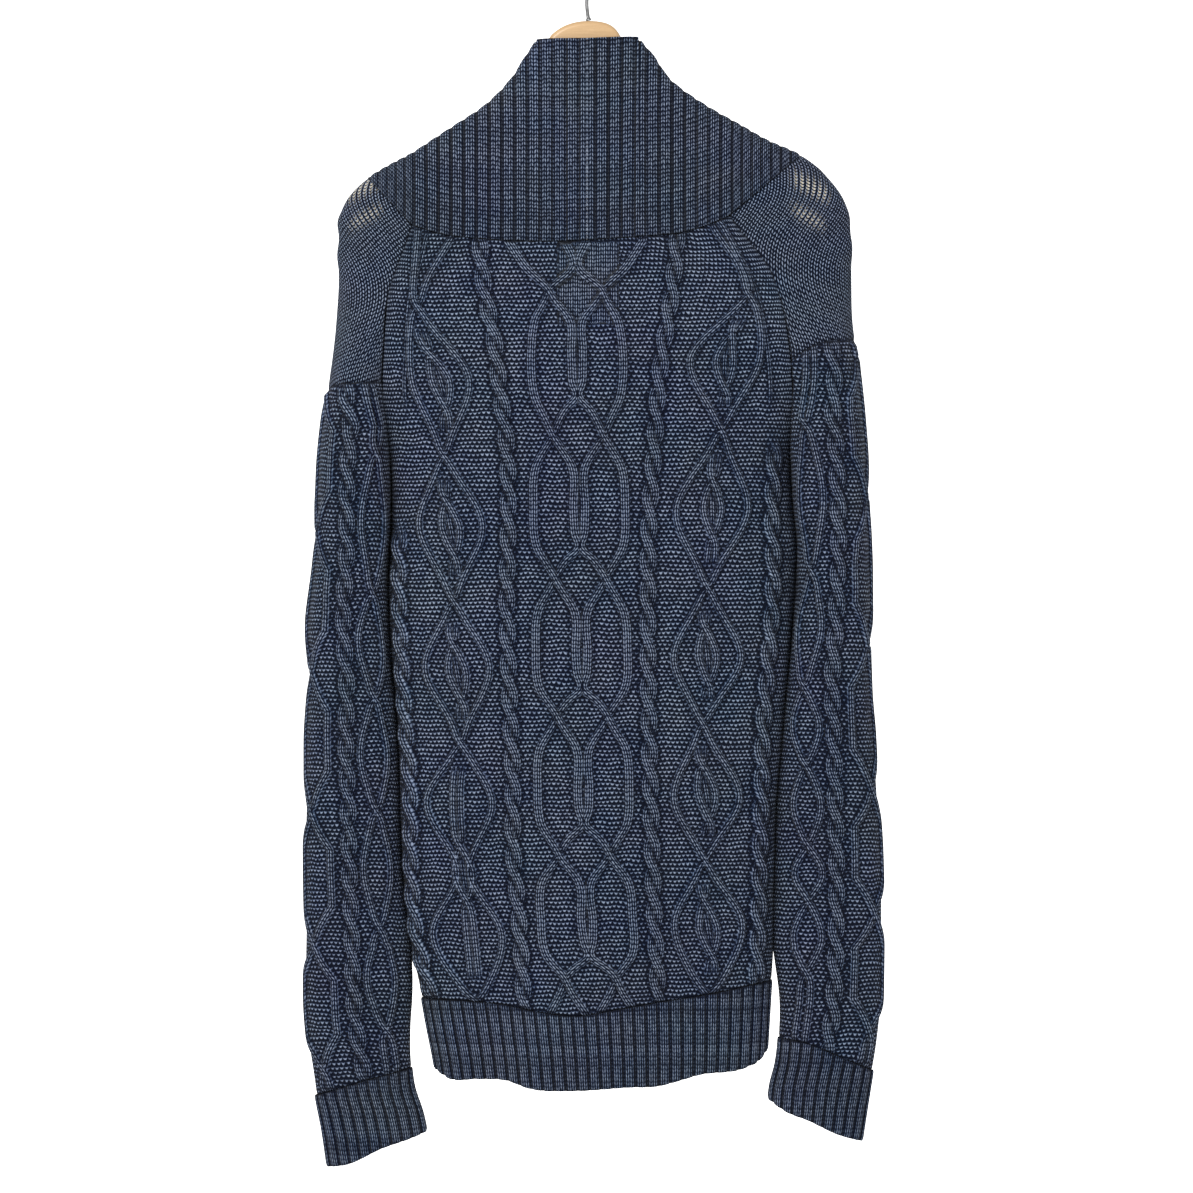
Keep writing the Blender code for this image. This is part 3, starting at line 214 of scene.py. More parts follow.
def along(rows, column, at, key="drop"):
    """A table's column at any drop (or x), as a smooth line through its rows."""
    places = np.array([getattr(row, key) for row in rows], float)
    values = np.array([getattr(row, column) for row in rows], float)
    slopes = np.gradient(values, places)
    at = np.clip(np.asarray(at, float), places[0], places[-1])
    low = np.clip(np.searchsorted(places, at, side="right") - 1, 0, len(rows) - 2)
    span = places[low + 1] - places[low]
    t = (at - places[low]) / span
    rise = values[low] * (1 + 2 * t) * (1 - t) ** 2 + values[low + 1] * t * t * (3 - 2 * t)
    bend = slopes[low] * t * (1 - t) ** 2 - slopes[low + 1] * t * t * (1 - t)
    return rise + bend * span


def across(rows, x):
    """The drop of a seam that runs across, at x."""
    return along(rows, "drop", x, key="x")


def ease(start, stop, at):
    t = np.clip((np.asarray(at, float) - start) / (stop - start), 0, 1)
    return t * t * (3 - 2 * t)


def side_name(side):
    return "left" if side == LEFT else "right"


def level_at(rows, x):
    return float(across(rows, x))


def seam_line(rows, shift=0.0):
    """The drop at any x of a line that far below a cross seam."""
    return lambda x: across(rows, x) + shift


def near(size, reach):
    """1 where size is 0, fading smoothly within reach."""
    return np.exp(-(size / reach) ** 2)


def round_depth(power):
    """Half depth of a rounded section from its power, and none outside it."""
    return np.maximum(power, 0) ** (1 / ROUNDNESS)


# ---------------------------------------------------------------- the hung form

def outer_x(side, drop):
    return along(OUTLINE, side_name(side), drop)


def edge_x(side, drop):
    """Where the body's edge is: the raglan, then the fold beside the sleeve."""
    return along(BODY_EDGE, side_name(side), drop)


def sleeve_edge_x(side, drop):
    """The sleeve's edge that faces the body, which swings clear of it lower down."""
    beside = edge_x(side, np.minimum(drop, LOOSE_SLEEVE_DROP))
    loose = along(SLEEVE_EDGE, side_name(side), drop)
    return np.where(np.asarray(drop) < LOOSE_SLEEVE_DROP, beside, loose)


def sleeve_shape(side, drop):
    """Middle, outer and inner reach and half depth of the sleeve's section."""
    outer = outer_x(side, drop)
    inner = sleeve_edge_x(side, drop)
    middle_of_all = (outer_x(LEFT, drop) + outer_x(RIGHT, drop)) / 2
    most = np.abs(outer - middle_of_all)
    top_reach = np.minimum(along(SECTION, "end", drop), most)
    reach = top_reach + (np.abs(outer - inner) / 2 - top_reach) * ease(NECK_DROP, CAP_DROP, drop)
    middle = outer - side * reach
    groove = np.clip(along(SECTION, "groove", drop), 0, 0.9999)
    inward = np.maximum(np.abs(inner - middle), 1.0) / (1 - groove ** ROUNDNESS) ** (1 / ROUNDNESS)
    return middle, reach, inward, along(SECTION, "sleeve", drop)


def sleeve_power(side, x, drop):
    """Half depth of the sleeve to the power ROUNDNESS, below zero outside it."""
    middle, reach, inward, depth = sleeve_shape(side, drop)
    outside = side * (x - middle)
    q = np.where(outside > 0, outside / reach, -outside / inward)
    return depth ** ROUNDNESS * (1 - q ** ROUNDNESS)


def upper_power(x, drop):
    """The form over the hanger, from the collar's top down to the yokes."""
    middle = (outer_x(LEFT, drop) + outer_x(RIGHT, drop)) / 2
    parts = []
    for side in SIDES:
        centre, reach, _, depth = sleeve_shape(side, drop)
        q = np.maximum(side * (x - centre), 0) / reach
        parts.append(depth ** ROUNDNESS * (1 - q ** ROUNDNESS))
    return np.where(x < middle, parts[0], parts[1])


def body_power(x, drop):
    """The body's oval, drawn through both seams, and flush with the collar at its neck."""
    left = edge_x(LEFT, drop)
    right = edge_x(RIGHT, drop)
    middle = (left + right) / 2
    half = (right - left) / 2
    depth = along(SECTION, "body", drop)
    powers = []
    for side, edge in ((LEFT, left), (RIGHT, right)):
        seam = round_depth(sleeve_power(side, edge, drop))
        seam = np.where(np.asarray(drop) > LOOSE_SLEEVE_DROP - 12, 0, seam)
        full = np.maximum(depth, seam / 0.985)
        reach = half / (1 - (seam / full) ** ROUNDNESS) ** (1 / ROUNDNESS)
        powers.append(full ** ROUNDNESS * (1 - (np.abs(x - middle) / reach) ** ROUNDNESS))
    own = np.where(x < middle, powers[0], powers[1])
    blend = ease(*COLLAR_BLEND, drop)
    return own * blend + upper_power(x, drop) * (1 - blend)


def collar_power(x, drop):
    over = upper_power(x, drop)
    below = body_power(x, np.maximum(drop, COLLAR_BLEND[0] - 5))
    return np.where(np.asarray(drop) < COLLAR_BLEND[0], over, below)


def fold_depth(x, y, drop):
    """How far the soft folds move the cloth out along its own direction."""
    total = np.zeros(np.shape(x))
    for fold in FOLDS:
        along_fold = (drop - fold.drop) / fold.half_length
        shifted = (x - fold.x - fold.lean * (drop - fold.drop)) / fold.half_width
        if abs(fold.lean) > 1:
            shifted = (x - fold.x) / fold.half_width
            along_fold = (drop - fold.drop - (x - fold.x) / fold.lean) / fold.half_length
        on_side = ease(4, 16, y * fold.side)
        total = total + fold.depth * on_side * np.exp(-along_fold ** 2 - shifted ** 2)
    return total


def surface(power, x, drop, face):
    """Points and outward directions of the cloth's outer face, before cables."""
    x = np.asarray(x, float)
    drop = np.asarray(drop, float)
    step = 0.05
    y = face * round_depth(power(x, drop))
    out_x = -(power(x + step, drop) - power(x - step, drop)) / (2 * step)
    out_z = (power(x, drop + step) - power(x, drop - step)) / (2 * step)
    out_y = ROUNDNESS * np.abs(y) ** (ROUNDNESS - 1) * face
    normal = np.stack([out_x, out_y, out_z], -1)
    normal /= np.linalg.norm(normal, axis=-1, keepdims=True)
    point = np.stack([x, y, -drop], -1)
    return point + normal * fold_depth(x, y, drop)[..., None], normal


# ---------------------------------------------------------------- raised stitches

STITCH_WIDTH = 4.0
ROW_HEIGHT = 3.6
CAP_STITCH = 4.0
# A crossing: how far along it reaches, how fast its strands close in and change places,
# and how much the front one rises while both sink.
CROSSING_REACH, CROSSING_CLOSE, CROSSING_SWAP = 11.0, 7.0, 1.5
CROSSING_RISE, CROSSING_SINK = 0.30, 0.08
RIB_SHARE = 0.78
ROPE_PITCH, ROPE_REACH, ROPE_WIDTH = 27.5, 3.8, 4.6
# Painted shade: ROPE_SHADOW is how strong it is beside a rope's strands, RIM_PLACE and RIM_WIDTH
# where it lies beside a strand and how wide, DARK_SHARE how far it darkens the yarn, and
# INNER_SHADE how much of it lies over the cloth's inside.
ROPE_LEVEL, ROPE_LIFT, ROPE_SHADOW = 0.86, 0.45, 1.9
RIM_PLACE, RIM_WIDTH = 1.10, 1.25
DIAMOND_WIDTH, TWIST_WIDTH, LATTICE_WIDTH = 3.8, 4.0, 4.2
DARK_SHARE = 0.30
INNER_SHADE = 0.25
RIB_STEPS = 90
# How far from a seam the cables fade, and how far an edge and a free end roll.
SEAM_FADE, ROLL, END_ROLL = 7, 1.6, 1.8


class Relief:
    """The height of a knitted face over its ground, built up strand by strand.

    across counts the stitches from the middle of the strand that is highest or nearest, dark is
    the painted shade beside strands, in furrows and along rolled edges, and open is how pulled
    apart the stitches are.
    """

    def __init__(self, place, drop):
        self.place = place
        self.drop = drop
        self.nearest = np.full(place.shape, np.inf)
        for name in ("height", "mask", "across", "level", "dark", "dark_level", "open"):
            setattr(self, name, np.zeros(place.shape))

    def strand(self, centre, width, level=1.0, shown=1.0, shadow=1.0):
        """One raised strand with rounded shoulders, its middle at centre, and painted shade beside
        it.
        """
        slope = np.gradient(centre, axis=1) / np.maximum(np.gradient(self.drop, axis=1), 1e-6)
        upright = 1 / np.sqrt(1 + np.clip(slope, -1.5, 1.5) ** 2)
        off = (self.place - centre) * upright
        edge = np.clip((width - np.abs(off)) / (0.55 * width), 0, 1)
        dome = edge * edge * (3 - 2 * edge) * (0.82 + 0.18 * np.cos(math.pi * off / (2 * width)))
        raised = dome * level * shown
        higher = raised > self.height
        closest = (np.abs(off) < self.nearest) & (self.height < 0.02)
        self.across = np.where(higher | closest, off / STITCH_WIDTH, self.across)
        self.nearest = np.minimum(self.nearest, np.abs(off))
        self.height = np.where(higher, raised, self.height)
        self.mask = np.maximum(self.mask, np.clip(edge * 1.6, 0, 1) * np.clip(shown, 0, 1))
        self.darken(off, width, level, shown * shadow, higher)

    def darken(self, off, width, level, strength, higher):
        """Painted shade: a dark line beside a strand, over the ground and over any strand that it
        crosses.
        """
        rim = near(np.abs(off) - RIM_PLACE * width, RIM_WIDTH) * strength
        self.dark = np.where(higher & (self.dark_level < level), 0, self.dark)
        grows = (level > self.level + 0.05) & (rim > self.dark) & ~higher
        self.dark = np.where(grows, rim, self.dark)
        self.dark_level = np.where(grows, level, self.dark_level)
        self.level = np.where(higher, level, self.level)

    def rope(self, centre, shown=1.0, turn=0.0):
        """Two strands twisted round each other, the front one leaning down to the right."""
        phase = math.pi * self.drop / ROPE_PITCH + turn
        swing = ROPE_REACH * np.cos(phase)
        lift = ROPE_LIFT * np.sin(phase)
        for way in (-1, 1):
            self.strand(centre + way * swing, ROPE_WIDTH, ROPE_LEVEL - way * lift, shown,
                        ROPE_SHADOW)

    def pair(self, low, high, crossings, width, shown=1.0):
        """Two strands that cross at the given drops, the one leaning down to the right in front."""
        middle, half = (low + high) / 2, (high - low) / 2
        low_level, high_level = np.ones(low.shape), np.ones(low.shape)
        for crossing in crossings:
            away = self.drop - crossing
            close = near(away, CROSSING_REACH)
            half = half * np.abs(np.tanh(away / CROSSING_CLOSE))
            front = CROSSING_RISE * close * np.tanh(away / CROSSING_SWAP)
            low_level = low_level - front - CROSSING_SINK * close
            high_level = high_level + front - CROSSING_SINK * close
        self.strand(middle - half, width, low_level, shown)
        self.strand(middle + half, width, high_level, shown)

    def ribs(self, count):
        """Ribs of two knit columns parted by a furrow, counted by count, with painted shade in the
        furrow.
        """
        off = count - np.floor(count) - 0.5
        edge = np.clip((RIB_SHARE / 2 + 0.10 - np.abs(off)) / 0.20, 0, 1)
        smooth = edge * edge * (3 - 2 * edge)
        self.height = smooth * (0.86 + 0.14 * np.cos(2 * math.pi * off))
        self.across = off / RIB_SHARE * 2.0
        self.mask = np.ones(off.shape)
        self.dark = 1 - smooth


def lay_lattice(relief, drop):
    """The four strands up the middle of the back."""
    axis = along(LATTICE, "axis", drop)
    outer, inner = along(LATTICE, "outer", drop), along(LATTICE, "inner", drop)
    crossings = [row.drop for row in LATTICE if 0 < row.outer - row.inner < 9]
    parting = [np.abs(drop - row.drop) for row in LATTICE if row.inner == 6]
    inner = inner * (1 - 0.9 * near(np.minimum.reduce(parting), 8.0))
    width = 4.0 + 1.4 * np.clip((outer - 30) / 8, 0, 1)
    relief.pair(axis - outer, axis - inner, crossings, width)
    relief.pair(axis + inner, axis + outer, crossings, width)


def lay_diamonds(relief, side, drop):
    """A column of diamonds, each with a short twisted cable inside."""
    left = along(DIAMOND[side], "left", drop)
    right = along(DIAMOND[side], "right", drop)
    crossings = [row.drop for row in DIAMOND[side] if row.right - row.left < 10]
    relief.pair(left, right, crossings, DIAMOND_WIDTH)
    middle = (left + right) / 2
    for above, below in zip(crossings, crossings[1:]):
        if below - above < 90:
            continue
        centre = (above + below) / 2
        half_length = (below - above) / 2
        inside = ease(half_length - 14, half_length - 30, np.abs(drop - centre))
        lean = 2.5 * np.sin(math.pi * (drop - centre) / half_length)
        ring = 3.1 + 4.4 * near(drop - centre, 15.0)
        twists = (centre - 24, centre + 24)
        relief.pair(middle - ring + lean, middle + ring + lean, twists, TWIST_WIDTH, inside)
        core = ease(22, 6, np.abs(drop - centre))
        relief.strand(middle + lean, TWIST_WIDTH, 0.62, core)


def lay_side(relief, side, drop):
    """The cables at one side of a panel: an outer rope, the diamonds and an inner rope."""
    shown = ease(*SIDE_ROPE_START[side], drop)
    relief.rope(along(SIDE_ROPE[side], "x", drop), shown, 0.8 * side)
    lay_diamonds(relief, side, drop)
    relief.rope(along(INNER_ROPE[side], "x", drop), turn=0.4 * side)


# ---------------------------------------------------------------- placing a piece

Face = namedtuple("Face", "points normals ground relief shade")


def soft_waves(points, size):
    """A gentle unevenness, in millimetres, that hand-finished cloth never lacks."""
    x, y, z = np.moveaxis(points, -1, 0)
    bent_x, bent_z = x / 27.0 + 1.3 * np.sin(z / 61.0), z / 43.0 + 0.8 * np.sin(x / 37.0)
    long_wave = np.sin(bent_x) * np.sin(bent_z)
    short_wave = np.sin(x / 11.0 + z / 17.0 + y / 9.0) * np.sin(z / 13.0 - x / 19.0)
    return size * (0.75 * long_wave + 0.25 * short_wave)


def body_gap(drop):
    return SEAM_GAP / 2 + (FOLD_GAP - SEAM_GAP) / 2 * ease(CAP_DROP, SLIT_OPEN_DROP, drop)


def body_edge_low(drop):
    return edge_x(LEFT, drop) + body_gap(drop)


def body_edge_high(drop):
    return edge_x(RIGHT, drop) - body_gap(drop)


def even_girth(low_at, high_at, shares, level):
    """Shares across a body piece that are evenly spaced round its curve, and its girth."""
    low, high = float(low_at(np.array(level))), float(high_at(np.array(level)))
    line = low + (high - low) * (1 - np.cos(math.pi * np.linspace(0, 1, 400))) / 2
    depth = round_depth(body_power(line, np.full(400, level)))
    length = run_length(np.stack([line, depth], -1))
    picked = np.interp(shares * length[-1], length, line)
    return (picked - low) / (high - low), length[-1]


def run_length(points):
    steps = np.linalg.norm(np.diff(points, axis=0), axis=1)
    return np.concatenate([[0], np.cumsum(steps)])


def body_face(across_shares, down_shares, edges, face, level=640.0):
    """Points of a body piece between its two edges and its two cross seams."""
    low_at, high_at, top_line, bottom_line = edges
    placed, girth = even_girth(low_at, high_at, across_shares, level)
    shares = placed[:, None]
    drop = np.tile(PANEL_TOP + (PANEL_BOTTOM - PANEL_TOP) * down_shares, (len(shares), 1))
    for _ in range(SETTLING_TURNS):
        lines = low_at(drop) + (high_at(drop) - low_at(drop)) * shares
        top = top_line(lines[:, :1])
        drop = top + (bottom_line(lines[:, -1:]) - top) * down_shares
    points, normals = surface(body_power, lines, drop, face)
    points[..., 1] = face * np.maximum(face * points[..., 1], SEAM_GAP / 2)
    return points, normals, lines, drop, across_shares[:, None] * girth + 0 * drop


def beside_fold(drop):
    """0 along the raglan seams and 1 along the folds below them."""
    return ease(CAP_DROP - 6, CAP_DROP + 30, drop)


def near_edge(shares, lengths, reach):
    """1 at the first and last share of a run of that length, fading within reach."""
    return near(np.minimum(shares, 1 - shares) * lengths, reach)


# ---------------------------------------------------------------- making a shell

def zip_rim(bm, fine, fine_at, coarse, coarse_at):
    """Closes the rim between a fine row of points and the coarse row inside it."""
    i, k = 0, 0
    while i < len(fine) - 1 or k < len(coarse) - 1:
        next_fine = fine_at[i + 1] if i < len(fine) - 1 else 2.0
        next_coarse = (coarse_at[k + 1] + coarse_at[k]) / 2 if k < len(coarse) - 1 else 2.0
        if next_fine <= next_coarse:
            bm.faces.new((fine[i], fine[i + 1], coarse[k]))
            i += 1
        else:
            bm.faces.new((fine[i], coarse[k + 1], coarse[k]))
            k += 1


def grid_rows(bm, columns, rows):
    made = bmesh.ops.create_grid(bm, x_segments=rows - 1, y_segments=columns - 1, size=1.0)["verts"]
    return [made[i * rows:(i + 1) * rows] for i in range(columns)]


def piece_of(name, bm, material):
    """A smooth piece in the scene, made of the bmesh."""
    mesh = bpy.data.meshes.new(name)
    bm.to_mesh(mesh)
    bm.free()
    mesh.shade_smooth()
    mesh.materials.append(material)
    piece = bpy.data.objects.new(name, mesh)
    bpy.context.scene.collection.objects.link(piece)
    return piece


def knit_shell(name, fine, coarse, raise_by, wall, material):
    """One knitted piece as a thin closed shell: raised stitches outside, plain inside."""
    bm = bmesh.new()
    outer, inner = (grid_rows(bm, *face.shade.shape) for face in (fine, coarse))
    outside = fine.points + fine.normals * (fine.relief.height * raise_by)[..., None]
    inside = coarse.points - coarse.normals * wall
    for lines, places in ((outer, outside), (inner, inside)):
        for line, spots in zip(lines, places * MM):
            for vert, spot in zip(line, spots):
                vert.co = spot
    (fine_across, fine_down), (coarse_across, coarse_down) = (
        [np.linspace(0, 1, size) for size in face.shade.shape] for face in (fine, coarse))
    for end in (0, -1):
        zip_rim(bm, outer[end], fine_down, inner[end], coarse_down)
        zip_rim(bm, [line[end] for line in outer], fine_across,
                [line[end] for line in inner], coarse_across)
    bmesh.ops.recalc_face_normals(bm, faces=bm.faces)
    if bm.calc_volume(signed=True) < 0:
        bmesh.ops.reverse_faces(bm, faces=bm.faces)
    piece = piece_of(name, bm, material)
    paint_stitches(piece.data, fine, coarse)
    return piece


def paint_stitches(mesh, fine, coarse):
    """Gives each point its stitch counts, how knit, raised and open it is, and its tone less
    painted shade.
    """
    relief, inner_shade = fine.relief, coarse.shade.ravel()
    nought = np.zeros(inner_shade.size)
    strand = np.stack([relief.across, relief.drop / ROW_HEIGHT], -1)
    at = np.empty(len(mesh.loops), int)
    mesh.loops.foreach_get("vertex_index", at)
    for layer, outer in (("ground", fine.ground), ("strand", strand)):
        counts = np.concatenate([outer.reshape(-1, 2), coarse.ground.reshape(-1, 2)])
        uv = mesh.uv_layers.new(name=layer)
        uv.data.foreach_set("uv", counts[at].astype(np.float32).ravel())
    # shade is each piece's tone less the painted shade beside strands and at edges; the inside
    # carries painted shade all over.
    for layer, outer, inner in (
            ("knit", relief.mask, nought + 1), ("raised", relief.height, nought),
            ("shade", fine.shade - DARK_SHARE * relief.dark, inner_shade - INNER_SHADE),
            ("open", relief.open, nought)):
        values = np.concatenate([outer.ravel(), inner]).astype(np.float32)
        mesh.attributes.new(layer, "FLOAT", "POINT").data.foreach_set("value", values)


def stand_for(piece, node):
    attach(piece, "root")
    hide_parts(node)


def knit_piece(name, node, slot, faces, settings, cloth):
    """Knits a piece, and says what it stands for."""
    raise_by = settings.cable_height if slot == "cable_knit" else settings.rib_height
    piece = knit_shell(name, *faces, raise_by, settings.wall, cloth)
    stand_for(piece, node)


# ---------------------------------------------------------------- back, fronts, hems and bands

def ground_counts(run, drop):
    return np.stack([run / STITCH_WIDTH, drop / ROW_HEIGHT], -1)


def roll_edges(relief, sides, ends):
    """Rolls a piece's edges into its seams, and paints shade on them there and along its folds."""
    fold = beside_fold(relief.drop)
    relief.height = relief.height * (1 - sides) - 0.20 * np.clip(sides * (1 - fold) + ends, 0, 1)
    relief.height += 0.12 * sides * fold
    relief.dark = np.maximum(relief.dark, np.clip(sides + ends, 0, 1))


def waved(points, normals, settings):
    return points + normals * soft_waves(points, settings.unevenness)[..., None]


def body_panel(columns, rows, edges, face, lay, settings):
    """A cabled body piece: its points, its stitches, and its edges rolled into the seams."""
    shares_across, shares_down = np.linspace(0, 1, columns), np.linspace(0, 1, rows)
    points, normals, lines, drop, run = body_face(shares_across, shares_down, edges, face)
    relief = Relief(lines, drop)
    if lay is not None:
        lay(relief, drop)
        relief.height *= ease(0, SEAM_FADE, np.minimum(shares_down, 1 - shares_down) * PANEL_LENGTH)
        each_row = np.abs(np.sin(math.pi * drop / ROW_HEIGHT))
        relief.height += 0.22 * ease(0.02, 0.2, relief.height) * each_row
        roll_edges(relief, near_edge(shares_across[:, None], PANEL_GIRTH, 2.2),
                   near_edge(shares_down, PANEL_LENGTH, ROLL))
    return Face(waved(points, normals, settings), normals, ground_counts(run, drop), relief,
                np.zeros(drop.shape))


def front_edges(side):
    """The front's edge at its band and its edge beside the sleeve, from left to right."""
    band = side * (BAND_WIDTH + SEAM_GAP)

    def band_edge(drop):
        return np.full(np.shape(drop), band)

    return (body_edge_low, band_edge) if side == LEFT else (band_edge, body_edge_high)


def neck_patch(face):
    """A small patch of closer, plain stitches under the neck seam, a little lighter."""
    relief, x, drop = face.relief, face.relief.place, face.relief.drop
    inside = ease(-27, -24, x) * ease(29, 26, x) * ease(272, 275, drop) * ease(346, 342, drop)
    ground = (inside > 0.5) & (relief.height < 0.25)
    relief.across = np.where(ground, x / STITCH_WIDTH, relief.across)
    relief.mask = np.maximum(relief.mask, inside)
    return face._replace(shade=face.shade + 0.07 * inside * ground)


def knit_back(settings, cables):
    """The cabled back, with a fine raised line beside each raglan seam."""
    def lay(relief, drop):
        lay_lattice(relief, drop)
        for side in SIDES:
            lay_side(relief, side, drop)
            line = edge_x(side, drop) - side * (15.0 + 4.0 * ease(260, 300, drop))
            relief.strand(line, 2.2, 0.45, ease(262, 270, drop) * ease(425, 395, drop))

    edges = (body_edge_low, body_edge_high, seam_line(NECK_SEAM, CURVED_GAP / 2),
             seam_line(HEM_TOP, -CURVED_GAP / 2))
    faces = (neck_patch(body_panel(280, 325, edges, BACK, lay, settings)),
             body_panel(60, 60, edges, BACK, None, settings))
    knit_piece("cabled_back", "back", "cable_knit", faces, settings, cables)


def knit_front(side, settings, cables):
    """A cabled front, from the collar's seam over the shoulder down to the hem."""
    seam_x, seam_drop = zip(*sorted((rib.foot_x, rib.foot_drop)
                                    for rib in COLLAR_RIBS[side][FRONT_ROW + 1:]))

    def top_line(x):
        return np.interp(x, seam_x, seam_drop) + CURVED_GAP / 2

    def lay(relief, drop):
        lay_side(relief, side, drop)

    edges = (*front_edges(side), top_line, seam_line(HEM_TOP, -CURVED_GAP / 2))
    faces = (body_panel(104, 300, edges, FRONT, lay, settings),
             body_panel(30, 60, edges, FRONT, None, settings))
    knit_piece("cabled_front_" + side_name(side), "front_" + side_name(side), "cable_knit",
               faces, settings, cables)


def ribbed(points, normals, ground_run, run, count, down, length, shade=0.0):
    """Lays ribs over a strip: count numbers the ribs, run measures along them."""
    relief = Relief(count, run)
    relief.ribs(count)
    rolled = near(down * length, ROLL)
    relief.height -= 0.18 * rolled
    # Painted shade where the strip rolls into its seam.
    relief.dark = np.maximum(relief.dark, rolled)
    relief.height -= 0.45 * near((1 - down) * length, END_ROLL)
    return Face(points, normals, ground_counts(ground_run, run), relief,
                np.full(count.shape, shade))


def knit_hem(node, face, edges, settings, rib_cloth):
    """A ribbed strip from the panel's seam down to the hem's wavy lower edge."""
    girth = even_girth(*edges, np.zeros(1), HEM_MIDDLE)[1]
    ribs = round(girth / HEM_RIB_PITCH)
    lines = (*edges, seam_line(HEM_TOP, CURVED_GAP / 2), seam_line(HEM_BOTTOM))
    faces = []
    for columns, rows in ((ribs * 12 + 1, 34), (ribs * 2 + 1, 10)):
        round_share, down = np.linspace(0, 1, columns), np.linspace(0, 1, rows)
        points, normals, _, drop, run = body_face(round_share, down, lines, face, HEM_MIDDLE)
        count = round_share[:, None] * ribs + 0 * drop
        faces.append(ribbed(points, normals, run, drop, count, down, TRIM_LENGTH, -0.18))
    knit_piece(node.replace("hem", "ribbed_hem"), node, "rib_knit", faces, settings, rib_cloth)


def knit_band(side, settings, rib_cloth):
    """The plain ribbed band that carries the collar on down one front."""
    ends = (-BAND_WIDTH, -SEAM_GAP / 2) if side == LEFT else (SEAM_GAP / 2, BAND_WIDTH)
    length = BAND_BOTTOM_DROP - BAND_TOP_DROP
    faces = []
    for columns, rows in ((37, 160), (7, 40)):
        down = np.linspace(0, 1, rows)
        x = np.linspace(*ends, columns)[:, None] + np.zeros(rows)
        drop = BAND_TOP_DROP + length * down + np.zeros((columns, 1))
        points, normals = surface(body_power, x, drop, FRONT)
        count = (x - ends[0]) / (ends[1] - ends[0]) * 3
        faces.append(ribbed(points, normals, x, drop, count, down, length))
    node = "front_band_" + side_name(side)
    knit_piece(node + "_rib", node, "rib_knit", faces, settings, rib_cloth)


# ---------------------------------------------------------------- the collar

def ridge_drop(side, x):
    """The drop at which the outline passes x, on the slope over the hanger."""
    drops = np.linspace(OUTLINE_TOP, YOKE_TOP, 400)
    return float(np.interp(side * x, side * outer_x(side, drops), drops))


def rib_path(side, rib):
    """A rib's way over the form: up the back, over the ridge and on to the free edge."""
    t = np.linspace(0, 1, RIB_STEPS)
    xs, drops, faces = [], [], []
    start_x, start_drop = rib.foot_x, rib.foot_drop
    outside_free = side * rib.foot_x > abs(rib.free_x) - 0.01
    crosses = rib.foot_side == BACK and outside_free and rib.free_drop > OUTLINE_TOP + 1
    if rib.foot_side == BACK:
        top = ridge_drop(side, rib.foot_x) if crosses else rib.free_drop
        end_x = rib.foot_x if crosses else rib.free_x
        back = 1 - (1 - t) ** 2 if crosses else t
        xs.append(start_x + (end_x - start_x) * back)
        drops.append(start_drop + (top - start_drop) * back)
        faces.append(np.full(RIB_STEPS, BACK))
        start_x, start_drop = end_x, top
    ridge_at = 1.0
    if crosses or rib.foot_side == FRONT:
        over = t[1:] ** 2 if crosses else t
        xs.append(start_x + (rib.free_x - start_x) * over)
        drops.append(start_drop + (rib.free_drop - start_drop) * over)
        faces.append(np.full(len(over), FRONT))
        ridge_at = 0.0
    x, drop, face = np.concatenate(xs), np.concatenate(drops), np.concatenate(faces)
    y = face * round_depth(collar_power(x, drop))
    length = run_length(np.stack([x, y, drop], -1))
    if crosses:
        ridge_at = length[RIB_STEPS - 1] / length[-1]
    return x, drop, face, length, ridge_at


def collar_seam(side):
    """The length walked along the collar's seam to each row of its table."""
    return run_length(np.array([[rib.foot_x, rib.foot_drop] for rib in COLLAR_RIBS[side]], float))


def collar_rib(side, seam_length, at):
    """A rib between two rows of the table; the seam turns to the front at the ridge row."""
    k = int(np.clip(np.searchsorted(seam_length, at, side="right") - 1, 0, len(seam_length) - 2))
    t = (at - seam_length[k]) / (seam_length[k + 1] - seam_length[k])
    a, b = COLLAR_RIBS[side][k:k + 2]
    mixed = Rib(*(p + (q - p) * t for p, q in zip(a, b)))
    foot_x = mixed.foot_x - (side * FRONT_SEAM_CLEAR if k > FRONT_ROW else 0.0)
    on_neck = a.foot_side == BACK and NECK_SEAM[0].x <= b.foot_x <= NECK_SEAM[-1].x
    foot_drop = level_at(NECK_SEAM, foot_x) if on_neck else mixed.foot_drop
    return mixed._replace(foot_x=foot_x, foot_drop=foot_drop - CURVED_GAP / 2,
                          foot_side=a.foot_side)


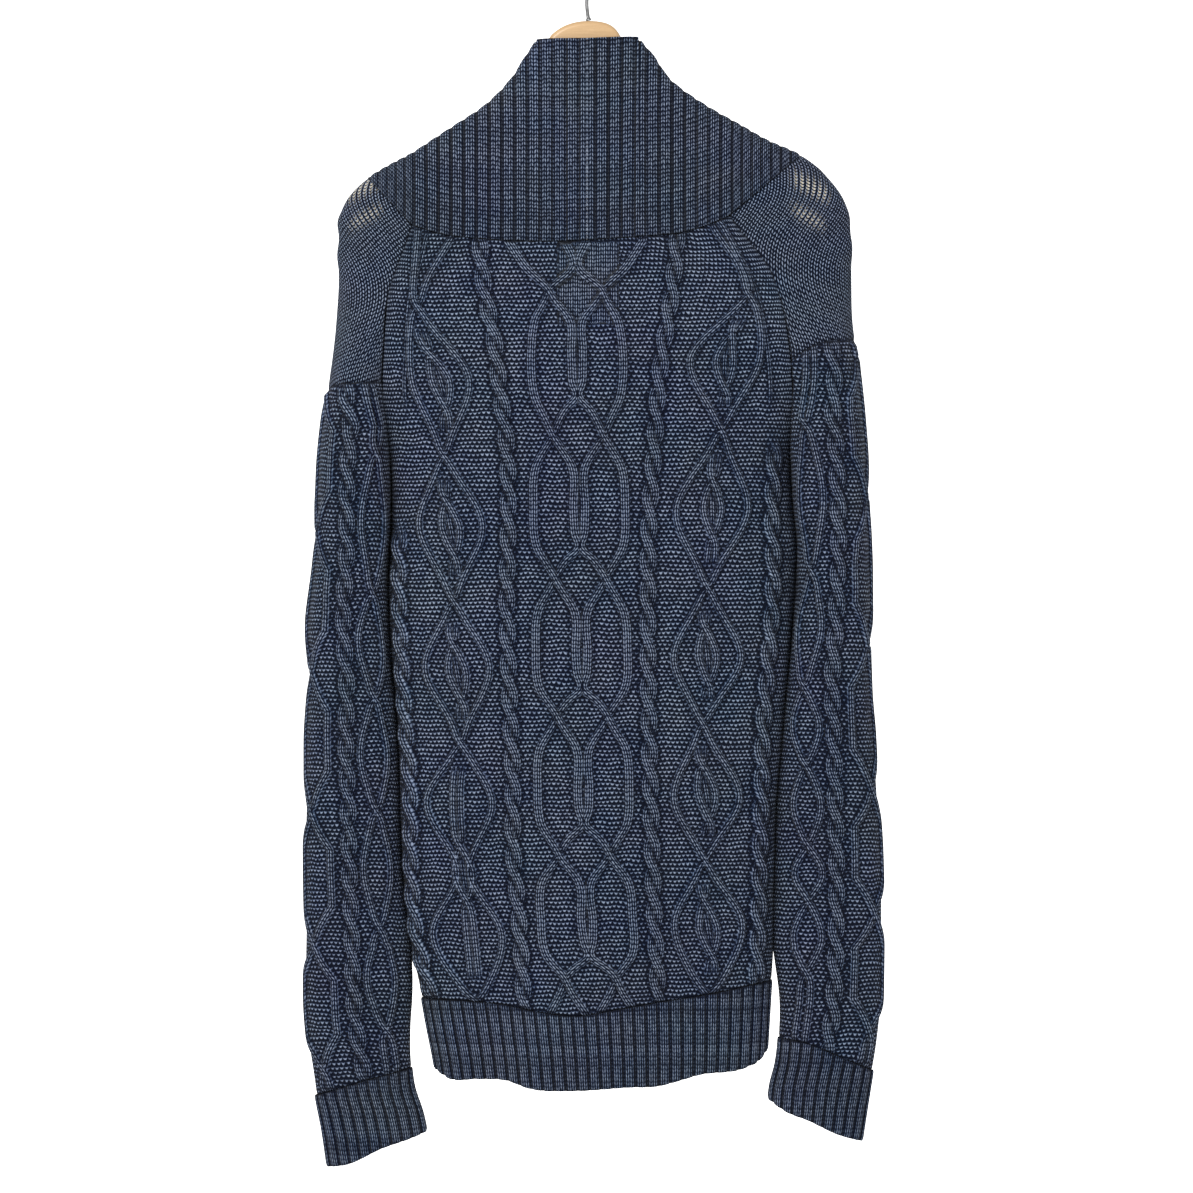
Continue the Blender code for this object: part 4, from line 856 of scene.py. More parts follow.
def collar_face(side, stations, rows, seam_length):
    """The collar's points and ribs at the given places along its seam."""
    columns, runs, ridges = [], [], []
    shares = np.linspace(0, 1, 400)
    for at in stations:
        x, drop, face, length, ridge_at = rib_path(side, collar_rib(side, seam_length, at))
        density = 1 + 1.6 * near((shares - ridge_at) * length[-1], 11.0)
        spread = np.concatenate([[0], np.cumsum((density[1:] + density[:-1]) / 2)])
        picks = np.interp(np.linspace(0, spread[-1], rows), spread, shares) * length[-1]
        columns.append([np.interp(picks, length, line) for line in (x, drop, face)])
        runs.append(picks)
        ridges.append(picks - ridge_at * length[-1])
    x, drop, face = np.moveaxis(np.array(columns), 1, 0)
    x[0] = side * SEAM_GAP / 2
    limit = np.where(drop < YOKE_TOP, outer_x(side, drop) * side, np.inf)
    x = side * np.minimum(side * x, limit)
    points, normals = surface(collar_power, x, drop, np.where(face < 0, BACK, FRONT))
    along_seam = stations[:, None] + np.zeros(rows)
    count = along_seam / COLLAR_RIB_PITCH + 0.35
    made = ribbed(points, normals, along_seam, np.array(runs), count, np.linspace(0, 1, rows),
                  180.0, -0.08)
    made.relief.height *= 1 - 0.6 * near(np.array(ridges), 10.0)
    # The collar's painted shade, in its furrows and at its seam, is weaker.
    made.relief.dark *= 0.6
    return made


def knit_collar(side, settings, rib_cloth):
    """Half the shawl collar, from the centre back seam round to the end of the front."""
    seam_length = collar_seam(side)
    faces = []
    for columns, rows in ((400, 74), (64, 26)):
        even = np.linspace(0, seam_length[-1], columns)
        stations = np.unique(np.concatenate([even, seam_length[1:-1]]))
        faces.append(collar_face(side, stations, rows, seam_length))
    knit_piece("shawl_collar_" + side_name(side), "collar_" + side_name(side), "rib_knit",
               faces, settings, rib_cloth)


# ---------------------------------------------------------------- sleeves

def cap_inner_x(side, drop):
    """The cap's inner edge: the collar's seam while it is above the raglan's top."""
    top, end = COLLAR_RIBS[side][FRONT_ROW:FRONT_ROW + 2]
    t = np.clip((end.foot_drop - drop) / (end.foot_drop - top.foot_drop), 0, 1)
    seam = end.foot_x + (top.foot_x - end.foot_x) * t
    return np.where(drop < end.foot_drop, seam, edge_x(side, np.maximum(drop, end.foot_drop)))


def half_section(side, drop, inner):
    """The sleeve's section at one drop, from its outer edge in to its inner one."""
    outer = float(outer_x(side, drop))
    x = outer + (inner - outer) * ((1 - np.cos(math.pi * np.linspace(0, 1, 160))) / 2) ** 1.3
    y = round_depth(sleeve_power(side, x, drop))
    return x, run_length(np.stack([x, y], -1))


def sleeve_face(side, columns, nominal, drop_of, inner_at):
    """Points evenly round the sleeve from its back seam edge to its front one."""
    share, girth = [], []
    turns = np.linspace(-1, 1, columns)
    for height in nominal:
        inner = float(inner_at(np.array(height)))
        line, length = half_section(side, height, inner)
        picked = np.interp(np.abs(turns) * length[-1], length, line)
        share.append((picked - inner) / (line[0] - inner))
        girth.append(turns * length[-1])
    share, girth = np.array(share).T, np.array(girth).T
    face = np.where(turns < 0, BACK, FRONT)[:, None]
    drop = np.tile(nominal, (columns, 1))
    for _ in range(SETTLING_TURNS):
        inner = inner_at(drop)
        x = inner + (outer_x(side, drop) - inner) * share
        drop = drop_of(x)
    points, normals = surface(lambda x, drop: sleeve_power(side, x, drop), x, drop, face)
    clear = np.where(share > 0.999, 0, SEAM_GAP / 2)
    points[..., 1] = face * np.maximum(face * points[..., 1], clear)
    return points, normals, girth, drop


def from_cap_end(points, side):
    """How far points lie out from the hanger's end and below it, where it holds the cap out."""
    return side * points[..., 0] - CAP_END[0], -points[..., 2] - CAP_END[1]


def open_stitches(points, side):
    """Two slanted bands near the hanger's end where the stitches are pulled open."""
    out, below = from_cap_end(points, side)
    upper = near(below + 33 - 0.5 * out, 7.0) * ease(-28, -16, out) * ease(12, 2, out)
    lower = near(below + 6 - 0.5 * out, 6.0) * ease(-28, -16, out) * ease(8, -4, out)
    return np.clip(upper + 0.7 * lower, 0, 1)


def pulled_folds(points, side):
    """Soft ridges that run down from the hanger's end, where it holds the cloth out."""
    out, below = from_cap_end(points, side)
    across_fold = out * 0.5 + below * 0.85
    ridge = near(across_fold, 6.5) + 0.6 * near(across_fold - 27, 8.0)
    return (1.7 * ridge - 1.1 * near(across_fold - 14, 6.5)) * near(out * 0.85 - below * 0.5, 26.0)


def cap_face(side, columns, rows, settings):
    """The plain stockinette sleeve cap, its stitches opened by the hanger's end."""
    tip, raglan_top = (rib.foot_drop for rib in COLLAR_RIBS[side][FRONT_ROW:FRONT_ROW + 2])
    level = level_at(CAP_SEAM[side], side * SLEEVE_MIDDLE)
    nominal = np.linspace(tip, level, rows)
    slant = ease(raglan_top, level, nominal)

    def drop_of(x):
        drop = nominal + slant * (across(CAP_SEAM[side], x) - level)
        drop[:, -1] -= CURVED_GAP / 2
        return drop

    def inner_at(drop):
        on_collar = ease(raglan_top + 60, raglan_top + 20, drop)
        return cap_inner_x(side, drop) + side * (SEAM_GAP + 0.02 * on_collar)

    points, normals, girth, drop = sleeve_face(side, columns, nominal, drop_of, inner_at)
    lean = 0.35 + 0.55 * ease(level + 10, raglan_top, drop)
    turned = CAP_STITCH * np.sqrt(1 + lean ** 2)
    run = (np.abs(girth) - lean * (drop - tip)) / turned
    climb = (drop - tip + lean * np.abs(girth)) / turned * (STITCH_WIDTH / ROW_HEIGHT)
    relief = Relief(girth, climb * ROW_HEIGHT)
    relief.mask[:] = 1.0
    relief.across = run
    at_seam = near((1 - np.linspace(0, 1, rows)) * (level - tip), END_ROLL)
    rolled = near_edge(np.linspace(0, 1, columns)[:, None], 180.0, 2.0) + at_seam
    rolled = np.clip(rolled, 0, 1)
    relief.height -= 0.30 * rolled
    # Painted shade along the cap's rolled edges and its seam.
    relief.dark = np.maximum(relief.dark, rolled)
    relief.open = open_stitches(points, side)
    pulled = soft_waves(points, 0.5 * settings.unevenness) + pulled_folds(points, side)
    return Face(points + normals * pulled[..., None], normals, np.stack([run, climb], -1), relief,
                np.full(drop.shape, -0.19))


def knit_cap(side, settings, cap_cloth):
    """The plain sleeve cap between the raglans and the seam across the sleeve."""
    faces = [cap_face(side, *size, settings) for size in ((96, 90), (34, 30))]
    knit_piece("sleeve_cap_" + side_name(side), "sleeve_yoke_" + side_name(side), "cable_knit",
               faces, settings, cap_cloth)


def sleeve_inner_at(side, drop):
    """The sleeve's edge beside the body, a fold's gap clear of it."""
    gap = SEAM_GAP + (FOLD_GAP / 2 - SEAM_GAP) * ease(CAP_DROP, SLIT_OPEN_DROP, drop)
    return sleeve_edge_x(side, drop) + side * gap


def swell(crossings, drop):
    """0 at each crossing and 1 half way to the next one."""
    at = np.array(crossings, float)
    low = np.clip(np.searchsorted(at, drop, side="right") - 1, 0, len(at) - 2)
    t = np.clip((drop - at[low]) / (at[low + 1] - at[low]), 0, 1)
    return 0.5 - 0.5 * np.cos(2 * math.pi * t)


def lay_sleeve(relief, side, girth, drop):
    """Cables either side of the sleeve's middle: a lattice, a rope and a narrow diamond."""
    half = np.abs(girth).max(axis=0)
    scale = np.minimum(1.0, (half - 8.0) / (SLEEVE_DIAMOND_ARC + SLEEVE_DIAMOND_HALF))
    wide = swell(SLEEVE_CROSSINGS[side], drop)
    outer = (25 + (SLEEVE_LATTICE_HALF - 25) * np.minimum(1, 1.6 * wide)) * scale
    inner = (18 - 13 * np.minimum(1, 1.9 * wide)) * scale
    spread = (4.5 + (SLEEVE_DIAMOND_HALF - 4.5) * swell(DIAMOND_CROSSINGS[side], drop)) * scale
    for turn in (-1, 1):
        low, high = (inner, outer) if turn > 0 else (-outer, -inner)
        relief.pair(low, high, SLEEVE_CROSSINGS[side], LATTICE_WIDTH)
        relief.rope(turn * SLEEVE_ROPE_ARC * scale, turn=0.9 * turn)
        middle = turn * SLEEVE_DIAMOND_ARC * scale
        relief.pair(middle - spread, middle + spread, DIAMOND_CROSSINGS[side], DIAMOND_WIDTH)


def tube_face(side, columns, rows, top_of, bottom_of, level, level_bottom):
    """Points of a sleeve or cuff between its two cross seams."""
    down = np.linspace(0, 1, rows)
    nominal = level + (level_bottom - level) * down

    def drop_of(x):
        top = top_of(x[:, :1])
        return top + (bottom_of(x[:, -1:]) - top) * down

    made = sleeve_face(side, columns, nominal, drop_of, lambda drop: sleeve_inner_at(side, drop))
    return (*made, down)


def knit_sleeve(side, settings, cables):
    """The cabled sleeve, closed by its underarm seam and open above it to the body."""
    ends = (seam_line(CAP_SEAM[side], CURVED_GAP / 2), seam_line(CUFF_TOP[side], -SEAM_GAP / 2),
            level_at(CAP_SEAM[side], side * SLEEVE_MIDDLE),
            level_at(CUFF_TOP[side], side * SLEEVE_MIDDLE))
    faces = []
    for columns, rows, laid in ((186, 340, True), (40, 70, False)):
        points, normals, girth, drop, down = tube_face(side, columns, rows, *ends)
        relief = Relief(side * girth, drop)
        if laid:
            lay_sleeve(relief, side, girth, drop)
            relief.height *= ease(0, SEAM_FADE, np.minimum(down, 1 - down) * SLEEVE_LENGTH)
            roll_edges(relief, near_edge(np.linspace(0, 1, columns)[:, None], 220.0, 2.0),
                       near_edge(down, SLEEVE_LENGTH, ROLL))
        points = waved(points, normals, settings)
        faces.append(Face(points, normals, ground_counts(girth, drop), relief,
                          np.full(drop.shape, -0.02)))
    knit_piece("cabled_sleeve_" + side_name(side), "sleeve_" + side_name(side), "cable_knit",
               faces, settings, cables)


def knit_cuff(side, settings, rib_cloth):
    """The ribbed cuff, a short tube closed by the same underarm seam."""
    level = level_at(CUFF_TOP[side], side * SLEEVE_MIDDLE)
    ends = (seam_line(CUFF_TOP[side], SEAM_GAP / 2), seam_line(CUFF_BOTTOM[side]),
            level, level_at(CUFF_BOTTOM[side], side * 190.0))
    _, length = half_section(side, level, float(sleeve_inner_at(side, np.array(level))))
    ribs = 2 * round(length[-1] / CUFF_RIB_PITCH)
    faces = []
    for columns, rows in ((ribs * 12 + 1, 36), (ribs * 2 + 1, 10)):
        points, normals, girth, drop, down = tube_face(side, columns, rows, *ends)
        count = np.linspace(0, ribs, columns)[:, None] + 0 * drop
        faces.append(ribbed(points, normals, girth, drop, count, down, TRIM_LENGTH, -0.20))
    knit_piece("ribbed_cuff_" + side_name(side), "cuff_" + side_name(side), "rib_knit",
               faces, settings, rib_cloth)


# ---------------------------------------------------------------- yarn, wood and steel

GAP_COLOUR = (0.70, 0.64, 0.52, 1.0)


class Wire:
    """A number in a material's node tree, with the usual arithmetic."""

    def __init__(self, tree, socket):
        self.tree, self.socket = tree, socket

    def math(self, kind, *others, clamp=False):
        node = self.tree.nodes.new("ShaderNodeMath")
        node.operation = kind
        node.use_clamp = clamp
        for place, value in enumerate((self, *others)):
            if isinstance(value, Wire):
                self.tree.links.new(value.socket, node.inputs[place])
            else:
                node.inputs[place].default_value = value
        return Wire(self.tree, node.outputs[0])

    def __add__(self, other):
        return self.math("ADD", other)

    def __sub__(self, other):
        return self.math("SUBTRACT", other)

    def __mul__(self, other):
        return self.math("MULTIPLY", other)

    def squared(self):
        return self.math("MULTIPLY", self)

    def hump(self, middle, half):
        """1 at the middle and 0 at half away from it and beyond."""
        off = (self - middle) * (1 / half)
        return (off.squared() * -1.0).math("ADD", 1.0, clamp=True)

    def mixed(self, other, share):
        return self + (other - self) * share


class Tree:
    """A material's nodes, with the few that the pieces need."""

    def __init__(self, name):
        self.material = bpy.data.materials.new(name)
        self.material.use_nodes = True
        self.tree = self.material.node_tree
        self.shader = self.tree.nodes["Principled BSDF"]

    def node(self, kind, **settings):
        node = self.tree.nodes.new(kind)
        for key, value in settings.items():
            setattr(node, key, value)
        return node

    def link(self, socket, target):
        self.tree.links.new(socket, target)

    def wire(self, socket):
        return Wire(self.tree, socket)

    def attribute(self, name):
        return self.wire(self.node("ShaderNodeAttribute", attribute_name=name).outputs["Fac"])

    def stitch_counts(self, layer):
        split = self.node("ShaderNodeSeparateXYZ")
        self.link(self.node("ShaderNodeUVMap", uv_map=layer).outputs["UV"], split.inputs[0])
        return self.wire(split.outputs["X"]), self.wire(split.outputs["Y"])

    def chance(self, u, v):
        """A random number for each whole u and v."""
        joined = self.node("ShaderNodeCombineXYZ")
        self.link(u.math("FLOOR").socket, joined.inputs["X"])
        self.link(v.math("FLOOR").socket, joined.inputs["Y"])
        random = self.node("ShaderNodeTexWhiteNoise", noise_dimensions="2D")
        self.link(joined.outputs[0], random.inputs["Vector"])
        return self.wire(random.outputs["Value"])

    def cloud(self, scale, detail=2.0, stretch=(1, 1, 1), roughness=0.5):
        """Soft noise through the piece, at the given scale."""
        place = self.node("ShaderNodeMapping")
        place.inputs["Scale"].default_value = stretch
        self.link(self.node("ShaderNodeTexCoord").outputs["Object"], place.inputs["Vector"])
        noise = self.node("ShaderNodeTexNoise")
        noise.inputs["Scale"].default_value = scale
        noise.inputs["Detail"].default_value = detail
        noise.inputs["Roughness"].default_value = roughness
        self.link(place.outputs[0], noise.inputs["Vector"])
        return self.wire(noise.outputs["Fac"])

    def ramp(self, tone, stops):
        ramp = self.node("ShaderNodeValToRGB")
        marks = ramp.color_ramp.elements
        while len(marks) < len(stops):
            marks.new(0.5)
        for mark, (place, colour) in zip(marks, stops):
            mark.position = place
            mark.color = (*colour, 1.0)
        self.link(tone.socket, ramp.inputs["Fac"])
        return ramp.outputs["Color"]

    def colour(self, tone, stops):
        self.link(self.ramp(tone, stops), self.shader.inputs["Base Color"])

    def bump(self, height, distance):
        bump = self.node("ShaderNodeBump")
        bump.inputs["Distance"].default_value = distance
        bump.inputs["Strength"].default_value = 1.0
        self.link(height.socket, bump.inputs["Height"])
        self.link(bump.outputs["Normal"], self.shader.inputs["Normal"])

    def constants(self, **values):
        for name, value in values.items():
            socket = name.replace("_", " ").title().replace("Ior", "IOR")
            self.shader.inputs[socket].default_value = value


def knit_height(u, v, slant, loop_share):
    """Knit columns: two legs to a stitch that meet in a V, one stitch under another."""
    aside = (u.math("FRACT") - 0.5).math("ABSOLUTE")
    leg = aside.hump(0.24, 0.25).math("POWER", 1.4)
    step = (v + aside * slant).math("FRACT")
    loop = (step * (step * -1.0 + 1.0) * 4.0).math("POWER", 1.1)
    return leg * (loop * loop_share + (1 - loop_share))


def purl_height(u, v):
    """Purl bumps: short arched dashes, set half a stitch over in every other row."""
    rows = v * 0.5

    def dashes(across_by, down_by):
        p = (u + across_by).math("FRACT") - 0.5
        q = (rows + down_by).math("FRACT") - 0.5
        arched = q + p.squared() * 0.85
        off = (p * (1 / 0.56)).squared() + (arched * (1 / 0.185)).squared()
        return (off * -1.0).math("ADD", 1.0, clamp=True)

    return dashes(0.0, 0.0).math("MAXIMUM", dashes(0.5, 0.5)).math("POWER", 0.75)


def yarn_material(name, colours, base, contrast, slant, loop, shows):
    """Wool yarn, its stitches drawn as bumps with painted shade low in them and painted highlight
    on their tops, and its gaps if it shows.
    """
    tree = Tree(name)
    gu, gv = tree.stitch_counts("ground")
    su, sv = tree.stitch_counts("strand")
    wander = (tree.cloud(70.0, 1.0) - 0.5) * 1.1
    knit = tree.attribute("knit")
    purl = purl_height(gu + wander * 0.5, gv + wander)
    height = purl.mixed(knit_height(su, sv + wander, slant, loop), knit)
    raised = tree.attribute("raised")
    each = tree.chance(gu, gv).mixed(tree.chance(su * 2.0, sv), knit) - 0.5
    fade = tree.cloud(9.0, 3.0) - 0.5
    fibre = tree.cloud(900.0, 2.0, (1.0, 1.0, 0.45), 0.7) - 0.5
    # Tone: painted highlight on stitch tops and raised strands, painted shade low in the stitches
    # and from the shade attribute, and the yarn's own unevenness.
    tone = (height * contrast + base + raised * 0.10 + each * 0.32 + fade * 0.14
            + fibre * 0.40 + tree.attribute("shade"))
    tone = tone.math("MAXIMUM", 0.0, clamp=True)
    colour = tree.ramp(tone, tuple(zip((0.05, 0.32, 0.66, 1.0), colours)))
    tint = tree.node("ShaderNodeHueSaturation")
    tree.link(colour, tint.inputs["Color"])
    tree.link((tree.cloud(17.0, 2.0) * 0.05 + 0.475).socket, tint.inputs["Hue"])
    tree.link((tree.cloud(31.0, 2.0) * 0.5 + 0.75).socket, tint.inputs["Saturation"])
    shown = tint.outputs["Color"]
    if shows:
        across_gap = ((su.math("FRACT") - 0.5) * (1 / 0.33)).squared()
        down_gap = ((sv.math("FRACT") - 0.5) * (1 / 0.36)).squared()
        holes = ((across_gap + down_gap) * -1.6).math("ADD", 1.6, clamp=True)
        holes = holes * tree.attribute("open")
        mix = tree.node("ShaderNodeMix", data_type="RGBA")
        tree.link(holes.socket, mix.inputs["Factor"])
        tree.link(shown, mix.inputs[6])
        mix.inputs[7].default_value = GAP_COLOUR
        shown = mix.outputs[2]
    tree.link(shown, tree.shader.inputs["Base Color"])
    tree.link((fibre * 0.2 + 0.88).math("MINIMUM", 1.0).socket, tree.shader.inputs["Roughness"])
    tree.constants(specular_ior_level=0.10, sheen_weight=0.05, sheen_roughness=0.5)
    tree.bump(height + fibre * 0.25, 0.0012)
    return tree.material


def beech_material(colours):
    """Varnished beech: long soft grain, darker pores and a few short flecks."""
    tree = Tree("varnished_beech")
    long_grain = tree.cloud(60.0, 4.0, (0.14, 1.0, 1.0), 0.6)
    pores = tree.cloud(700.0, 2.0, (0.06, 1.0, 1.0), 0.5)
    flecks = tree.cloud(1400.0, 1.0, (0.35, 1.0, 1.0), 0.4)
    broad = tree.cloud(6.0, 2.0)
    tone = long_grain * 0.75 + pores * 0.35 + flecks * 0.15 + broad * 0.35 - 0.30
    tree.colour(tone, tuple(zip((0.0, 0.55, 1.0), colours)))
    tree.link((pores * 0.2 + 0.32).socket, tree.shader.inputs["Roughness"])
    tree.constants(coat_weight=0.25, coat_roughness=0.25)
    tree.bump(long_grain * 0.5 + pores * 0.5, 0.00012)
    return tree.material


def steel_material():
    """Drawn wire with a little uneven shine."""
    tree = Tree("drawn_steel")
    worn = tree.cloud(260.0, 3.0)
    tree.colour(worn, ((0.25, (0.12, 0.12, 0.12)), (0.75, (0.30, 0.30, 0.30))))
    tree.link((worn * 0.25 + 0.25).socket, tree.shader.inputs["Roughness"])
    tree.constants(metallic=1.0)
    tree.bump(worn, 0.00003)
    return tree.material


def floor_material():
    tree = Tree("pale_floor")
    tree.colour(tree.cloud(1.5, 2.0), ((0.2, (0.86, 0.86, 0.86)), (0.8, (0.90, 0.90, 0.90))))
    tree.constants(roughness=0.9)
    return tree.material


# ---------------------------------------------------------------- hanger

HANGER_THICKNESS = 11.0
HANGER_INSET = 8.8
HANGER_ROUNDING = 4.6
HANGER_ARM_DEPTH = 34.0


def hanger_edge(side):
    """The hanger's upper edge on one side: the outline over it, moved in by the cloth's wall."""
    drops = np.array([122, 133, 145, 157, 171, 185, 200, 212, 222, 231], float)
    step = 0.5
    x = outer_x(side, drops)
    run_x = outer_x(side, drops + step) - outer_x(side, drops - step)
    length = np.hypot(run_x, 2 * step)
    inward_x = -side * 2 * step / length
    inward_drop = np.abs(run_x) / length
    return list(zip(x + inward_x * HANGER_INSET, drops + inward_drop * HANGER_INSET))


def hanger_outline():
    """The wooden hanger seen from the front: its hump, two arms and their lower edges."""
    hump = [(-34, 98), (-29, 91.5), (-20, 85.5), (-9, 82), (2, 81), (13, 82), (21, 85), (27, 91),
            (31, 99), (39, 112)]
    left, right = hanger_edge(LEFT), hanger_edge(RIGHT)
    under_left, under_right = (
        [(x - side * 12, drop + HANGER_ARM_DEPTH) for x, drop in edge[2:-1]]
        for side, edge in ((LEFT, left), (RIGHT, right)))
    return hump + right + under_right[::-1] + under_left + left[::-1]


def mesh_of_curve(name, curve, material, turn=0.0):
    """Turns a curve into one closed mesh piece."""
    guide = bpy.data.objects.new(name + "_line", curve)
    bpy.context.scene.collection.objects.link(guide)
    guide.rotation_euler = (turn, 0, 0)
    bpy.context.view_layer.update()
    evaluated = guide.evaluated_get(bpy.context.evaluated_depsgraph_get())
    mesh = bpy.data.meshes.new_from_object(evaluated)
    bm = bmesh.new()
    bm.from_mesh(mesh)
    bpy.data.meshes.remove(mesh)
    bmesh.ops.remove_doubles(bm, verts=bm.verts, dist=0.00001)
    bmesh.ops.recalc_face_normals(bm, faces=bm.faces)
    bm.transform(guide.matrix_world)
    bpy.data.objects.remove(guide)
    piece = piece_of(name, bm, material)
    piece.data.set_sharp_from_angle(angle=math.radians(50))
    return piece


def new_curve(name, kind, points, widths=None):
    """A curve with one straight-sided spline through the points, in metres."""
    curve = bpy.data.curves.new(name, "CURVE")
    curve.dimensions = kind
    curve.bevel_resolution = 5
    spline = curve.splines.new("POLY")
    spline.points.add(len(points) - 1)
    for k, place in enumerate(points):
        spline.points[k].co = (*place, 1)
        if widths is not None:
            spline.points[k].radius = widths[k]
    return curve


def smooth_line(corners, steps=4):
    """A closed line of points drawn through the corners in a curve."""
    points = np.array(corners, float)
    before, after, beyond = (np.roll(points, shift, axis=0) for shift in (1, -1, -2))
    t = (np.arange(steps) / steps)[:, None, None]
    bent = 0.5 * (2 * points + (after - before) * t
                  + (2 * before - 5 * points + 4 * after - beyond) * t ** 2
                  + (3 * points - before - 3 * after + beyond) * t ** 3)
    return np.moveaxis(bent, 0, 1).reshape(-1, 2)


def make_hanger(wood):
    """The flat shaped board with rounded edges."""
    outline = smooth_line(hanger_outline())
    curve = new_curve("hanger_line", "2D", [(x * MM, -drop * MM, 0) for x, drop in outline])
    curve.fill_mode = "BOTH"
    curve.extrude = (HANGER_THICKNESS / 2 - HANGER_ROUNDING) * MM
    curve.bevel_depth = HANGER_ROUNDING * MM
    curve.offset = -HANGER_ROUNDING * MM
    curve.splines[0].use_cyclic_u = True
    piece = mesh_of_curve("beech_hanger", curve, wood, math.radians(90))
    stand_for(piece, "hanger_wood")


def make_hook(steel):
    """The bent wire, with a small bright collar where it goes into the wood."""
    centre_drop = HOOK_RADIUS - HOOK_WIRE / 2
    line = [(*SHANK_FOOT, 1.5), (1.3, 79.6, 1.5), (1.2, 79.0, 1.3), (1.1, 78.6, 1.0)]
    for step in range(1, 12):
        t = step / 12
        line.append((1.1 - 1.9 * math.sin(math.pi * t * 0.7) + 0.9 * t, 78.6 - 21.6 * t, 1.0))
    for step in range(57):
        angle = math.radians(-62 + step * 272 / 56)
        line.append((HOOK_RADIUS * math.cos(angle),
                     centre_drop - HOOK_RADIUS * math.sin(angle), 1.0))
    curve = new_curve("hook_line", "3D", [(x * MM, 0, -drop * MM) for x, drop, _ in line],
                      [width for _, _, width in line])
    curve.bevel_depth = HOOK_WIRE / 2 * MM
    curve.use_fill_caps = True
    stand_for(mesh_of_curve("steel_hook", curve, steel), "hanger_hook")


# ---------------------------------------------------------------- stage

FLOOR_LEVEL = -1.32
FLOOR_LENGTH = 9.0
FLOOR_END = 7.0
SWEEP_RADIUS = 1.5
CAMERA_DISTANCE = 5.2
FRAME_WIDTH = 1.029
FRAME_MIDDLE = (0.00817, -0.5775)
BACKDROP_TOP = 4.5
# Each light's name, place, aim, size in metres and power in watts.
LIGHTS = (("key", (-1.3, -2.4, 1.2), (0.0, 0.0, -0.58), 1.4, 74.0),
          ("fill", (2.2, -2.2, 0.1), (0.0, 0.0, -0.58), 2.0, 20.0),
          ("behind", (0.0, 3.6, 2.4), (0.0, 8.0, -0.7), 3.5, 420.0))
SWEEP_HALF_WIDTH = 10.0


def make_sweep(material):
    """A pale floor that curves up behind into a backdrop."""
    bm = bmesh.new()
    steps = 60
    for step, line in enumerate(grid_rows(bm, steps, 2)):
        turn = math.pi / 2 * step / (steps - 2)
        depth = FLOOR_END + SWEEP_RADIUS * math.sin(turn)
        rise = SWEEP_RADIUS * (1 - math.cos(turn))
        if step == 0:
            depth = -FLOOR_LENGTH
        if step == steps - 1:
            rise = BACKDROP_TOP
        for vert, x in zip(line, (-SWEEP_HALF_WIDTH, SWEEP_HALF_WIDTH)):
            vert.co = (x, depth, rise + FLOOR_LEVEL)
    bmesh.ops.recalc_face_normals(bm, faces=bm.faces)
    if sum(face.normal.z for face in bm.faces) < 0:
        bmesh.ops.reverse_faces(bm, faces=bm.faces)
    sweep = piece_of("pale_sweep", bm, material)


def soft_light(name, place, aim, size, watts):
    """A large even light, aimed at the given point."""
    lamp = bpy.data.lights.new(name, "AREA")
    lamp.shape = "SQUARE"
    lamp.size = size
    lamp.energy = watts
    light = bpy.data.objects.new(name, lamp)
    light.location = place
    light.rotation_euler = (Vector(aim) - Vector(place)).to_track_quat("-Z", "Y").to_euler()
    bpy.context.scene.collection.objects.link(light)


def light_and_camera(settings):
    """Soft studio light, and the camera at the picture's place."""
    scene = bpy.context.scene
    for light in LIGHTS:
        soft_light(*light)
    world = bpy.data.worlds.new("pale_room")
    scene.world = world
    world.use_nodes = True
    background = world.node_tree.nodes["Background"]
    background.inputs["Color"].default_value = (1.0, 1.0, 1.0, 1.0)
    background.inputs["Strength"].default_value = settings.room_light
    lens = bpy.data.cameras.new("camera")
    lens.lens = lens.sensor_width * CAMERA_DISTANCE / FRAME_WIDTH
    camera = bpy.data.objects.new("camera", lens)
    camera.location = (FRAME_MIDDLE[0], -CAMERA_DISTANCE, FRAME_MIDDLE[1])
    camera.rotation_euler = (math.radians(90), 0, 0)
    scene.collection.objects.link(camera)
    scene.camera = camera
    scene.view_settings.view_transform = "Standard"


# ---------------------------------------------------------------- settings and operators

# Each yarn's slant and loop, how much bolder its stitches' painted shade and highlight are, and
# whether gaps show through.
Yarn = namedtuple("Yarn", "slant loop bolder shows")
YARNS = {"cabled_wool": Yarn(0.9, 0.7, 1.0, False), "ribbed_wool": Yarn(1.5, 0.4, 1.0, False),
         "collar_wool": Yarn(1.2, 0.75, 1.0, False), "plain_wool": Yarn(1.3, 0.85, 1.35, True)}


def yarn(context, name):
    """The yarn of that name, made when it is first asked for."""
    found = bpy.data.materials.get(name)
    if found is not None:
        return found
    colour, kind = context.scene.cardigan_colour, YARNS[name]
    colours = [tuple(shade) for shade in (colour.furrow, colour.deep, colour.middle, colour.light)]
    return yarn_material(name, colours, colour.tone - 0.3 * (kind.bolder - 1),
                         colour.contrast * kind.bolder, kind.slant, kind.loop, kind.shows)


def beech(context):
    colour = context.scene.cardigan_colour
    return beech_material([tuple(shade) for shade in
                           (colour.wood_dark, colour.wood, colour.wood_light)])


def knit_both(context, knit_one, wool):
    """Knits the piece at the left and the one at the right."""
    for side in SIDES:
        knit_one(side, context.scene.cardigan_knit, yarn(context, wool))
    return {"FINISHED"}


def number_property(name, description, default, low, high):
    return bpy.props.FloatProperty(name=name, description=description, default=default,
                                   min=low, max=high)


def shade_property(name, description, default):
    return bpy.props.FloatVectorProperty(name=name, description=description, subtype="COLOR",
                                         size=3, default=default, min=0.0, max=1.0)


